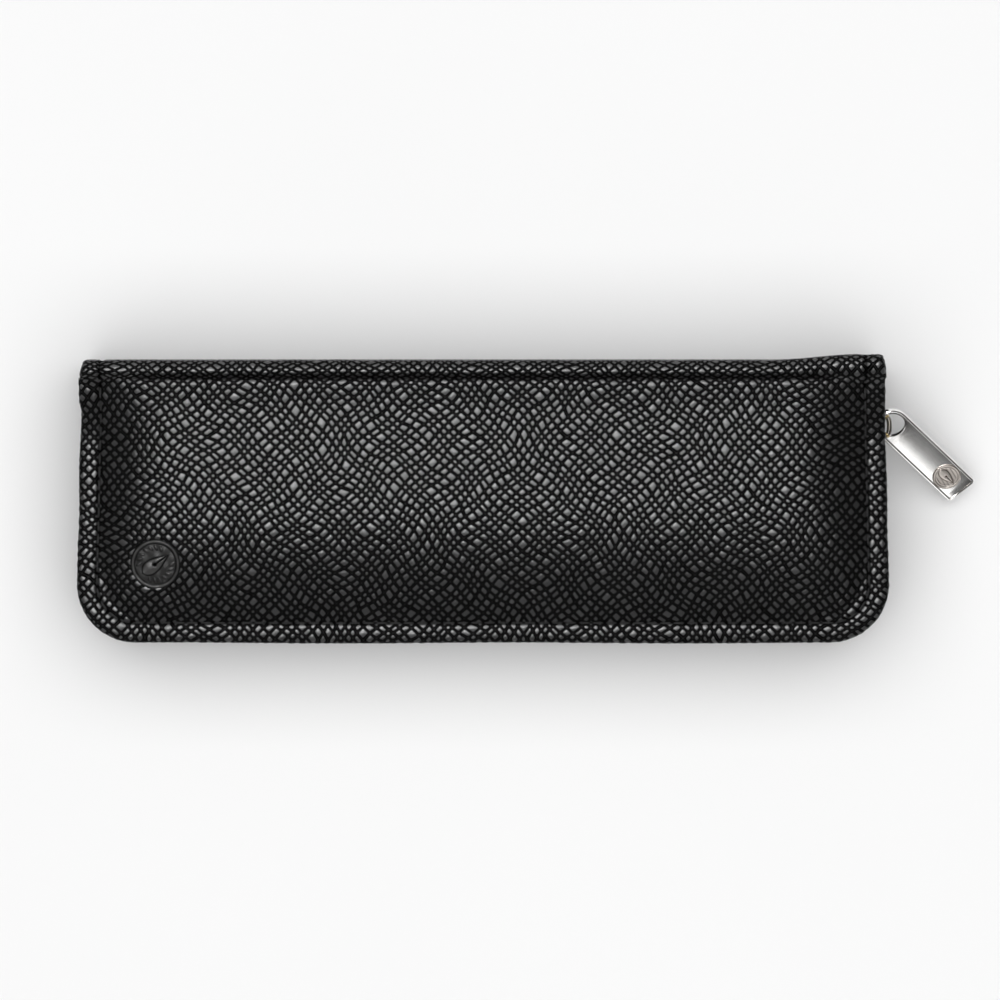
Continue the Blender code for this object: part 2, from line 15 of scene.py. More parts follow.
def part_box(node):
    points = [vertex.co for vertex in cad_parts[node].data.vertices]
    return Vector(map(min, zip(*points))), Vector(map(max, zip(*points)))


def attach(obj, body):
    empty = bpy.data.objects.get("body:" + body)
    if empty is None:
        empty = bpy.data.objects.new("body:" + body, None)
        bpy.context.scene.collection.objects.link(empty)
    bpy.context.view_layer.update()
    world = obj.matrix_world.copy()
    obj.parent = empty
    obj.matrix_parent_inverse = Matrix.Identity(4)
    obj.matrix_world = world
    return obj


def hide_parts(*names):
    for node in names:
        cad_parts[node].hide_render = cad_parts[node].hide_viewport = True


MM = 0.001
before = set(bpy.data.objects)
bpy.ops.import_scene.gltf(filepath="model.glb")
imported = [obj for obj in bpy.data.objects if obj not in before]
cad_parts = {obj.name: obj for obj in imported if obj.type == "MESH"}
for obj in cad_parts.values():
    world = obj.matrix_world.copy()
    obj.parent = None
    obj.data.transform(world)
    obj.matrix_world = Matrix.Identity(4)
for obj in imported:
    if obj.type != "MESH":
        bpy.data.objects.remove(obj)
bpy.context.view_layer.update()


def node_box(name):
    """A CAD node's corners in millimetres."""
    low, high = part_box(name)
    return np.array(low) / MM, np.array(high) / MM


COVER_LOW, COVER_HIGH = node_box("front_cover")
TOP_Z = COVER_HIGH[2]
MID_Z = TOP_Z / 2
HALF_X = COVER_HIGH[0]
FREE_Y = COVER_LOW[1]
SPINE_Y = COVER_HIGH[1]
EDGE_LOW_Z = COVER_LOW[2]

CORNER_R = 12.0
CORNER_Y = FREE_Y + CORNER_R
CORNER_X = HALF_X - CORNER_R
EDGE_THICK = 2.2
RIM_Z = EDGE_LOW_Z + EDGE_THICK
SPINE_TAPER = 1.0               # how much shorter each half is at the spine
PANEL_END_Y = 24.9
FLARE_START_Y = 12.0
SPINE_LIFT = 3.2
GROOVE_AT = 4.05                # inset of the sewn groove
SLOPE_AT = 4.7
SLOPE = {"front": (16.0, 24.0, 2.4), "back": (8.0, 11.5, 1.9)}
LEATHER = 1.0
BODY = {"front": "front", "back": "root"}
GRAIN_HEIGHT = 0.13
ROLL_R = 1.5                    # radius of the hinge rolls
ROLL_Z = TOP_Z - ROLL_R
RIDGE_Y = 26.6                  # crest of the leather that rolls over the spine's edge
RIDGE_DROP = 2.1
FLARE = 1.25                    # how far the spine stands out at its right end

WALL_X = 76.6
WALL_Y = FREE_Y + 5.3
WALL_R = 7.5
TAPE_TOP_Y = 22.0
TAPE_REACH_Y = 25.3             # the tape closes the end beside the spine

EMBLEM = (-66.6, -12.65)
EMBLEM_R = 4.9

PULLER_CENTRE = np.array([83.5, 15.9, MID_Z])
PULLER_TILT = 32.0              # slope of the plate, in degrees
PULLER_TILT_LINE = 10.0         # heading of the level line in the plate
PULLER_HEADING = -42.6          # heading of the plate seen from above
PULLER_LENGTH = 22.5
PULLER_HALF = 3.525
PULLER_THICK = 1.1
HOLE_R = 2.65


def puller_axes():
    """Directions along the plate, across it and out of its face."""
    tilt, line, heading = np.radians([PULLER_TILT, PULLER_TILT_LINE, PULLER_HEADING])
    level = np.array([math.cos(line), math.sin(line), 0.0])
    level_side = np.array([-math.sin(line), math.cos(line), 0.0])
    climb = level_side * math.cos(tilt) + np.array([0.0, 0.0, math.sin(tilt)])
    seen = np.array([math.cos(heading), math.sin(heading), 0.0])
    along = seen.dot(level) * level + seen.dot(level_side) / math.cos(tilt) * climb
    along /= np.linalg.norm(along)
    face = np.cross(level, climb)
    return along, np.cross(face, along), face


PULLER_ALONG, PULLER_ACROSS, PULLER_FACE = puller_axes()


# Values that work on arrays and in shaders ---------------------------------


class Value:
    """A shader value that takes part in arithmetic."""

    def __init__(self, tree, socket):
        self.tree = tree
        self.socket = socket

    def math(self, operation, *others):
        node = self.tree.nodes.new("ShaderNodeMath")
        node.operation = operation
        for index, term in enumerate((self,) + others):
            if isinstance(term, Value):
                self.tree.links.new(term.socket, node.inputs[index])
            else:
                node.inputs[index].default_value = float(term)
        return Value(self.tree, node.outputs[0])

    def __add__(self, other):
        return self.math("ADD", other)

    def __mul__(self, other):
        return self.math("MULTIPLY", other)

    def __sub__(self, other):
        return self.math("SUBTRACT", other)

    def __rsub__(self, other):
        return self * -1.0 + other

    def __truediv__(self, other):
        return self.math("DIVIDE", other)

    __radd__ = __add__
    __rmul__ = __mul__


def sine(value):
    return value.math("SINE") if isinstance(value, Value) else np.sin(value)


def floor(value):
    return value.math("FLOOR") if isinstance(value, Value) else np.floor(value)


def least(a, b):
    return a.math("MINIMUM", b) if isinstance(a, Value) else np.minimum(a, b)


def most(a, b):
    return a.math("MAXIMUM", b) if isinstance(a, Value) else np.maximum(a, b)


def size(value):
    return value.math("ABSOLUTE") if isinstance(value, Value) else np.abs(value)


def ease(low, high, value):
    """Smooth step from 0 at low to 1 at high."""
    if isinstance(value, Value):
        node = value.tree.nodes.new("ShaderNodeMapRange")
        node.interpolation_type = "SMOOTHSTEP"
        value.tree.links.new(value.socket, node.inputs["Value"])
        node.inputs["From Min"].default_value = low
        node.inputs["From Max"].default_value = high
        return Value(value.tree, node.outputs["Result"])
    share = np.clip((value - low) / (high - low), 0.0, 1.0)
    return share * share * (3.0 - 2.0 * share)


MOAT_GROWTH = 0.06
LINE_DENSITY = 0.655            # grain lines to a millimetre, on the mean
LINE_WAVES = (                  # amplitude, rate along, rate across, shift
    (0.130, 0.67, 0.20, 1.0),
    (0.100, 1.31, -0.33, 2.3),
    (0.062, 2.17, 0.42, 0.4),
    (0.018, 3.05, -0.55, 3.7),
)


def lines_phase(along, other, seed):
    """Line count along one diagonal, and how many lines there are to a millimetre."""
    bend = 0.5 * sine(0.21 * other + seed) + 0.3 * sine(0.47 * other + 2.0 * seed)
    phase = LINE_DENSITY * (along + bend) + seed
    density = LINE_DENSITY
    for amplitude, rate, across, shift in LINE_WAVES:
        turn = rate * along + across * other + shift * seed
        phase = phase + amplitude * sine(turn)
        density = density + amplitude * rate * sine(turn + 0.5 * math.pi)
    return phase, density


def grain(x, y):
    """Grain at a developed place in millimetres: how far off both lines, and a tone for each pebble.

    The offsets count from a little outside the line in the wide cells, so that the
    moats widen with the pebbles.
    """
    a = (x + y) * math.sqrt(0.5)
    b = (x - y) * math.sqrt(0.5)
    phase_a, density_a = lines_phase(a, b, 0.6)
    phase_b, density_b = lines_phase(b, a, 2.9)
    cell_a = floor(phase_a)
    cell_b = floor(phase_b)
    near_a = 0.5 - size(phase_a - cell_a - 0.5)
    near_b = 0.5 - size(phase_b - cell_b - 0.5)
    tone = 0.5 + 0.5 * sine(2.3 * cell_a + 4.1 * cell_b + 1.7 * sine(1.1 * cell_a + 0.7 * cell_b))
    line_a = near_a / density_a
    line_b = near_b / density_b
    off_a = (near_a - MOAT_GROWTH) / density_a
    off_b = (near_b - MOAT_GROWTH) / density_b
    return line_a, line_b, off_a, off_b, tone


def pebble_shape(off_a, off_b, edge, width):
    """1 on a pebble and 0 round it, with rounded corners."""
    side_a = ease(edge, edge + width, off_a)
    side_b = ease(edge, edge + width, off_b)
    return ease(0.12, 0.85, side_a * side_b)


def pebble_height(x, y, edge, width):
    """Height of the grain from 0 to 1, with how wide its moats and edges are."""
    _, _, off_a, off_b, tone = grain(x, y)
    return pebble_shape(off_a, off_b, edge, width) * (0.75 + 0.25 * tone)


# Materials ------------------------------------------------------------------


def new_material(name):
    material = bpy.data.materials.new(name)
    material.use_nodes = True
    tree = material.node_tree
    return material, tree, tree.nodes["Principled BSDF"]


def place_node(tree):
    """The piece's own coordinates, in metres."""
    return tree.nodes.new("ShaderNodeTexCoord").outputs["Object"]


def noise(tree, vector, scale, detail=3.0, roughness=0.55):
    node = tree.nodes.new("ShaderNodeTexNoise")
    node.inputs["Scale"].default_value = scale
    node.inputs["Detail"].default_value = detail
    node.inputs["Roughness"].default_value = roughness
    tree.links.new(vector, node.inputs["Vector"])
    return Value(tree, node.outputs["Fac"])


def blend_colours(tree, share, low, high):
    node = tree.nodes.new("ShaderNodeMix")
    node.data_type = "RGBA"
    tree.links.new(share.socket, node.inputs["Factor"])
    node.inputs["A"].default_value = (*low, 1.0)
    node.inputs["B"].default_value = (*high, 1.0)
    return node.outputs["Result"]


def add_bump(tree, shader, height, depth):
    """Bump of a height from 0 to 1, with its real depth in millimetres."""
    node = tree.nodes.new("ShaderNodeBump")
    node.inputs["Strength"].default_value = 1.0
    node.inputs["Distance"].default_value = depth * MM
    tree.links.new(height.socket, node.inputs["Height"])
    tree.links.new(node.outputs["Normal"], shader.inputs["Normal"])


def grain_place(tree):
    """The attribute's three numbers, and the attribute itself.

    They are the developed place in millimetres and the painted shade of the sewn groove. The emblems
    keep a tone in the first one: painted light on the cover emblem, the dark of the engraved lines on the
    puller's.
    """
    node = tree.nodes.new("ShaderNodeAttribute")
    node.attribute_name = "grain"
    split = tree.nodes.new("ShaderNodeSeparateXYZ")
    tree.links.new(node.outputs["Vector"], split.inputs[0])
    return *(Value(tree, output) for output in split.outputs), node.outputs["Vector"]


def leather_material():
    material, tree, shader = new_material("pebbled_leather")
    # Painted shade: the attribute's third number darkens the colour and gloss along the sewn groove.
    x, y, painted_groove_shade, vector = grain_place(tree)
    line_a, line_b, off_a, off_b, tone = grain(x, y)
    pebble = pebble_shape(off_a, off_b, 0.15, 0.16)
    rib = 1.0 - ease(0.03, 0.09, least(line_a, line_b))
    fine = noise(tree, vector, 5.5, 4.0, 0.6)
    wear = noise(tree, vector, 0.045, 2.0, 0.5)
    relief = pebble * (0.80 + 0.20 * tone) + 0.42 * rib + 0.16 * (fine - 0.5)
    add_bump(tree, shader, relief, 0.16)
    # Painted shade: the moats round each pebble are black and the ribs in them dimmer, while the pebble
    # tops keep the leather's own colour. The pebble tone and the broad wear noise are the leather's own.
    shade = most(pebble * (0.75 + 0.25 * tone), 0.25 * rib) * (0.8 + 0.4 * wear) * (1.0 - 0.9 * painted_groove_shade)
    tree.links.new(
        blend_colours(tree, shade, (0.0, 0.0, 0.0), (0.016, 0.016, 0.0164)),
        shader.inputs["Base Color"],
    )
    rough = 0.60 - 0.20 * pebble + 0.12 * (fine - 0.5)
    tree.links.new(rough.socket, shader.inputs["Roughness"])
    # The gloss is cut in the moats as well, so that they stay as dark as shade.
    gloss = 0.01 + 0.88 * most(pebble * (0.75 + 0.25 * tone) * (0.82 + 0.36 * fine), 0.22 * rib)
    tree.links.new((gloss * (1.0 - 0.92 * painted_groove_shade)).socket, shader.inputs["Specular IOR Level"])
    return material


def smooth_leather_material():
    material, tree, shader = new_material("smooth_leather")
    vector = place_node(tree)
    fine = noise(tree, vector, 3800.0, 4.0, 0.65)
    broad = noise(tree, vector, 420.0, 2.0)
    raised, _, _, _ = grain_place(tree)
    add_bump(tree, shader, fine, 0.03)
    # The emblem's painted light: its colour is lighter and its gloss higher on the raised relief, and black
    # in the pressed lines. The broad noise is its own uneven tone.
    tree.links.new(
        blend_colours(tree, raised * ease(0.1, 0.75, broad), (0.0, 0.0, 0.0), (0.026, 0.025, 0.024)),
        shader.inputs["Base Color"],
    )
    tree.links.new((0.34 + 0.20 * fine).socket, shader.inputs["Roughness"])
    tree.links.new((0.02 + 0.75 * raised).socket, shader.inputs["Specular IOR Level"])
    return material


def engraved_material():
    """Steel with dark colour in its engraved lines."""
    material, tree, shader = new_material("engraved_steel")
    raised, _, _, _ = grain_place(tree)
    vector = place_node(tree)
    fine = noise(tree, vector, 4200.0, 3.0, 0.7)
    add_bump(tree, shader, fine, 0.012)
    tree.links.new(
        blend_colours(tree, raised * (0.85 + 0.15 * fine), (0.060, 0.040, 0.030), (0.74, 0.68, 0.63)),
        shader.inputs["Base Color"],
    )
    tree.links.new((0.52 - 0.14 * raised).socket, shader.inputs["Roughness"])
    shader.inputs["Metallic"].default_value = 1.0
    return material


def weave_material(name, low, high, pitch, depth, rough=0.85, sheen=0.0):
    """Plain weave in the piece's developed coordinates, in millimetres."""
    material, tree, shader = new_material(name)
    x, y, _, vector = grain_place(tree)
    turn = 2.0 * math.pi / pitch
    warp = 0.5 + 0.5 * sine(turn * x)
    weft = 0.5 + 0.5 * sine(turn * y)
    over = ease(-0.15, 0.15, sine(0.5 * turn * x) * sine(0.5 * turn * y))
    thread = over * warp + (1.0 - over) * weft
    fluff = noise(tree, vector, 9.0, 3.0, 0.6)
    add_bump(tree, shader, thread + 0.5 * fluff, depth)
    tree.links.new(
        blend_colours(tree, ease(0.1, 1.3, thread * 0.8 + fluff * 0.6), low, high),
        shader.inputs["Base Color"],
    )
    tree.links.new((rough - 0.12 * thread).socket, shader.inputs["Roughness"])
    shader.inputs["Sheen Weight"].default_value = sheen
    shader.inputs["Sheen Roughness"].default_value = 0.4
    return material


def metal_material(name, low, high, rough, scratch):
    """Metal with a cloudy tone, fine brushing and worn roughness."""
    material, tree, shader = new_material(name)
    vector = place_node(tree)
    broad = noise(tree, vector, 260.0, 3.0)
    fine = noise(tree, vector, 5200.0, 3.0, 0.7)
    tree.links.new(
        blend_colours(tree, ease(0.3, 0.7, broad), low, high),
        shader.inputs["Base Color"],
    )
    tree.links.new((rough + 0.16 * (broad - 0.5) + 0.14 * (fine - 0.5)).socket, shader.inputs["Roughness"])
    shader.inputs["Metallic"].default_value = 1.0
    add_bump(tree, shader, fine, scratch)
    return material


def plate_material():
    """Polished steel whose face is very slightly hollow across its width."""
    material, tree, shader = new_material("polished_steel")
    vector = place_node(tree)
    broad = noise(tree, vector, 200.0, 3.0)
    fine = noise(tree, vector, 6000.0, 3.0, 0.7)
    split = tree.nodes.new("ShaderNodeSeparateXYZ")
    tree.links.new(vector, split.inputs[0])
    place = [Value(tree, split.outputs[i]) * (1.0 / MM) - float(PULLER_CENTRE[i]) for i in range(3)]
    across = place[0] * PULLER_ACROSS[0] + place[1] * PULLER_ACROSS[1] + place[2] * PULLER_ACROSS[2]
    hollow = 0.052 * across * across - 0.07 * across
    node = tree.nodes.new("ShaderNodeBump")
    node.inputs["Distance"].default_value = MM
    tree.links.new((-1.0 * hollow + 0.004 * fine).socket, node.inputs["Height"])
    tree.links.new(node.outputs["Normal"], shader.inputs["Normal"])
    tree.links.new(
        blend_colours(tree, ease(0.3, 0.7, broad), (0.80, 0.785, 0.77), (0.90, 0.89, 0.875)),
        shader.inputs["Base Color"],
    )
    tree.links.new((0.16 + 0.08 * broad).socket, shader.inputs["Roughness"])
    shader.inputs["Metallic"].default_value = 1.0
    return material


def board_material():
    material, tree, shader = new_material("fibre_board")
    vector = place_node(tree)
    fibre = noise(tree, vector, 1500.0, 6.0, 0.7)
    tree.links.new(
        blend_colours(tree, fibre, (0.020, 0.018, 0.016), (0.075, 0.068, 0.060)),
        shader.inputs["Base Color"],
    )
    tree.links.new((0.75 + 0.2 * fibre).socket, shader.inputs["Roughness"])
    add_bump(tree, shader, fibre, 0.05)
    return material


def foam_material():
    material, tree, shader = new_material("padding_foam")
    vector = place_node(tree)
    cells = tree.nodes.new("ShaderNodeTexVoronoi")
    cells.inputs["Scale"].default_value = 2200.0
    tree.links.new(vector, cells.inputs["Vector"])
    depth = Value(tree, cells.outputs["Distance"])
    tree.links.new(
        blend_colours(tree, depth, (0.24, 0.24, 0.25), (0.12, 0.12, 0.13)),
        shader.inputs["Base Color"],
    )
    tree.links.new((0.88 + 0.1 * depth).socket, shader.inputs["Roughness"])
    add_bump(tree, shader, 1.0 - depth, 0.12)
    return material


LEATHER_LOOK = leather_material()
SMOOTH_LOOK = smooth_leather_material()
TAPE_LOOK = weave_material("zip_tape_weave", (0.006, 0.006, 0.006), (0.026, 0.026, 0.027), 0.55, 0.10)
LINING_LOOK = weave_material(
    "lining_weave", (0.010, 0.010, 0.012), (0.040, 0.040, 0.044), 0.42, 0.07, sheen=0.25
)
ELASTIC_LOOK = weave_material("elastic_weave", (0.008, 0.008, 0.009), (0.034, 0.034, 0.036), 0.8, 0.14)
THREAD_LOOK = weave_material("sewing_thread", (0.006, 0.006, 0.006), (0.022, 0.022, 0.022), 0.28, 0.06)
BRASS_LOOK = metal_material("aged_brass", (0.40, 0.30, 0.14), (0.66, 0.52, 0.28), 0.34, 0.006)
# Painted shade and reflection: the slider and crown are nickel like the puller, coloured dark and warm for
# the shade they sit in and the brown they reflect.
NICKEL_PAINTED_SHADE_LOOK = metal_material("nickel_painted_shade", (0.10, 0.09, 0.08), (0.22, 0.20, 0.17), 0.30, 0.006)
STEEL_LOOK = plate_material()
ENGRAVED_LOOK = engraved_material()
BOARD_LOOK = board_material()
FOAM_LOOK = foam_material()


# Meshes ----------------------------------------------------------------------


def make_piece(name, points, faces, material, body, stands_for=(), places=None, flat=False):
    """A mesh piece from points in millimetres that rides on a CAD body."""
    mesh = bpy.data.meshes.new(name)
    mesh.from_pydata((np.asarray(points) * MM).tolist(), [], faces)
    mesh.materials.append(material)
    if not flat:
        mesh.shade_smooth()
    if places is not None:
        attribute = mesh.attributes.new("grain", "FLOAT_VECTOR", "POINT")
        flat_places = np.zeros((len(points), 3), np.float32)
        flat_places[:, : places.shape[1]] = places
        attribute.data.foreach_set("vector", flat_places.ravel())
    piece = bpy.data.objects.new(name, mesh)
    bpy.context.scene.collection.objects.link(piece)
    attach(piece, body)
    if stands_for:
        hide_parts(*stands_for)
    return piece


def push_out(piece, heights):
    """Moves each point along its normal, by heights in millimetres."""
    mesh = piece.data
    count = len(mesh.vertices)
    points = np.empty(count * 3, np.float32)
    normals = np.empty(count * 3, np.float32)
    mesh.vertices.foreach_get("co", points)
    mesh.vertices.foreach_get("normal", normals)
    moved = points + normals * np.repeat(heights, 3) * MM
    mesh.vertices.foreach_set("co", moved.astype(np.float32))
    mesh.update()


def grid_faces(rows, columns, start=0, closed=False, flip=False):
    """Faces of a grid of points that are numbered row by row."""
    faces = []
    last = columns if closed else columns - 1
    for row in range(rows - 1):
        for column in range(last):
            after = (column + 1) % columns
            a = start + row * columns + column
            b = start + row * columns + after
            corners = (a, b, b + columns, a + columns)
            faces.append(corners[::-1] if flip else corners)
    return faces


def half_length(y):
    """Half the case's length at a depth, which tapers to the spine."""
    share = np.clip((y - CORNER_Y) / (PANEL_END_Y - CORNER_Y), 0.0, 1.2)
    return HALF_X - SPINE_TAPER * share


def rim_lift(y):
    return SPINE_LIFT * ease(FLARE_START_Y, PANEL_END_Y, y)


def dome_height(x, y, side):
    """Height of the front panel's outside above the floor, without grain."""
    width_x, width_y, steep = SLOPE[side]
    rim = RIM_Z + rim_lift(y)
    across = np.clip(1.0 - (half_length(y) - np.abs(x) - SLOPE_AT) / width_x, 0.0, 1.3)
    along = np.clip(1.0 - (y - FREE_Y - SLOPE_AT) / width_y, 0.0, 1.3)
    corner = np.clip((across**4 + along**4) ** 0.25, 0.0, 1.0)
    rise = 1.0 - corner**steep
    height = rim + (TOP_Z - rim) * rise
    if side == "front":
        height = height - 0.5 * np.clip((14.0 - y) / 38.0, 0.0, 1.0) ** 2 * rise
        height = height + 0.42 * ease(18.5, 25.3, y) * rise
    return height


def outline_places(counts, inset, top_y):
    """Points round the three free sides at an inset, from the left spine end to the right one."""
    side, arc, bottom = counts
    y = np.linspace(top_y, CORNER_Y, side, endpoint=False)
    left = np.column_stack((-(half_length(y) - inset), y))
    radius = CORNER_R - inset
    angle = np.linspace(math.pi, 1.5 * math.pi, arc + 1)
    corner = np.column_stack((-CORNER_X + radius * np.cos(angle), CORNER_Y + radius * np.sin(angle)))
    x = np.linspace(-CORNER_X, CORNER_X, bottom + 1)[1:-1]
    low = np.column_stack((x, np.full_like(x, FREE_Y + inset)))
    mirror = np.array([-1.0, 1.0])
    return np.vstack((left, corner, low, corner[::-1] * mirror, left[::-1] * mirror))


def patch_places(counts, inset, top_y):
    """Grid of points that fills the outline at an inset; rows run from the spine to the free edge."""
    side, arc, bottom = counts
    ring = outline_places(counts, inset, top_y)
    rows = side + arc // 2
    columns = bottom + arc
    left = ring[: rows + 1]
    low = ring[rows : rows + columns + 1]
    right = ring[rows + columns :][::-1]
    top = np.column_stack((np.linspace(left[0, 0], right[0, 0], columns + 1), np.full(columns + 1, top_y)))
    u = np.linspace(0.0, 1.0, columns + 1)[None, :, None]
    v = np.linspace(0.0, 1.0, rows + 1)[:, None, None]
    straight = (1 - v) * top[None] + v * low[None] + (1 - u) * left[:, None] + u * right[:, None]
    corners = (
        (1 - u) * (1 - v) * top[0]
        + u * (1 - v) * top[-1]
        + (1 - u) * v * low[0]
        + u * v * low[-1]
    )
    return straight - corners


def mirrored(points, side):
    """Points of the front half, turned over to the back half where that is wanted."""
    points = np.array(points, float)
    if side == "back":
        points[..., 2] = TOP_Z - points[..., 2]
    return points


# Leather covers ----------------------------------------------------------------

COUNTS = {"front": (112, 40, 388), "back": (72, 24, 248)}
BAND_STEP = {"front": 0.36, "back": 0.55}
TOP_ROW_Y = 24.0
FLANGE_INSET = 5.6
PATCH_INSET = 8.0
EDGE_ROUND = 0.85
SPARSE = 4                      # how much coarser the hidden inner face is
END_STEPS = ((0.35, 0.25), (0.70, 0.5), (0.95, 0.75), (1.12, 0.92), (1.20, 1.0))
HINGE_GROOVE_Z = 24.0


def band_profile(step):
    """Inset, drop under the rim and developed inset, from the turned edge's inner end to the slope."""
    rows = []
    for inset in np.arange(FLANGE_INSET, EDGE_ROUND, -0.6):
        rows.append((inset, -EDGE_THICK))
    for angle in np.linspace(0.0, 0.5 * math.pi, 4):
        rows.append((EDGE_ROUND * (1 - math.sin(angle)), -EDGE_THICK + EDGE_ROUND * (1 - math.cos(angle))))
    for angle in np.linspace(0.0, 0.5 * math.pi, 5):
        rows.append((EDGE_ROUND * (1 - math.cos(angle)), EDGE_ROUND * (math.sin(angle) - 1)))
    for inset in np.arange(EDGE_ROUND + step, 3.3, step):
        rows.append((inset, 0.10 * math.sin(math.pi * inset / 4.0)))
    rows += [(3.50, -0.02), (3.72, -0.14), (3.90, -0.34), (4.05, -0.42), (4.20, -0.34), (4.40, -0.12)]
    rows += [(inset, None) for inset in np.arange(SLOPE_AT, PATCH_INSET - 0.5 * step, step)]
    rows.append((PATCH_INSET, None))
    flat = [(inset, 0.0 if drop is None else drop) for inset, drop in rows]
    run = np.concatenate(([0.0], np.cumsum(np.hypot(*np.diff(np.array(flat), axis=0).T))))
    top = next(i for i, (inset, drop) in enumerate(rows) if drop is not None and drop > -0.001)
    developed = [rows[top][0] - (run[top] - run[i]) for i in range(top)]
    developed += [inset for inset, _ in rows[top:]]
    return [(inset, drop, place) for (inset, drop), place in zip(rows, developed)]


def hand_shaped(points, side):
    """Small unevenness of the real edge: a lapped bulge at the left spine corner and a slight wave."""
    if side == "back":
        return points
    x, y, _ = points.T
    near = ease(6.0, 1.0, half_length(y) - np.abs(x))
    lap = 0.45 * ease(18.6, 20.6, y)
    wave = 0.12 * np.sin(0.31 * y + 0.7 * np.sign(x)) * ease(-12.0, -6.0, y)
    points[:, 0] -= near * np.where(x < 0, lap + wave, -0.6 * wave)
    low = ease(6.0, 1.0, y - FREE_Y)
    points[:, 1] += low * 0.10 * np.sin(0.09 * x + 1.0)
    return points


def emblem_clear(x, y):
    """1 where the grain stands, 0 in the smooth round place of the emblem."""
    return ease(EMBLEM_R + 0.15, EMBLEM_R + 0.75, np.hypot(x - EMBLEM[0], y - EMBLEM[1]))


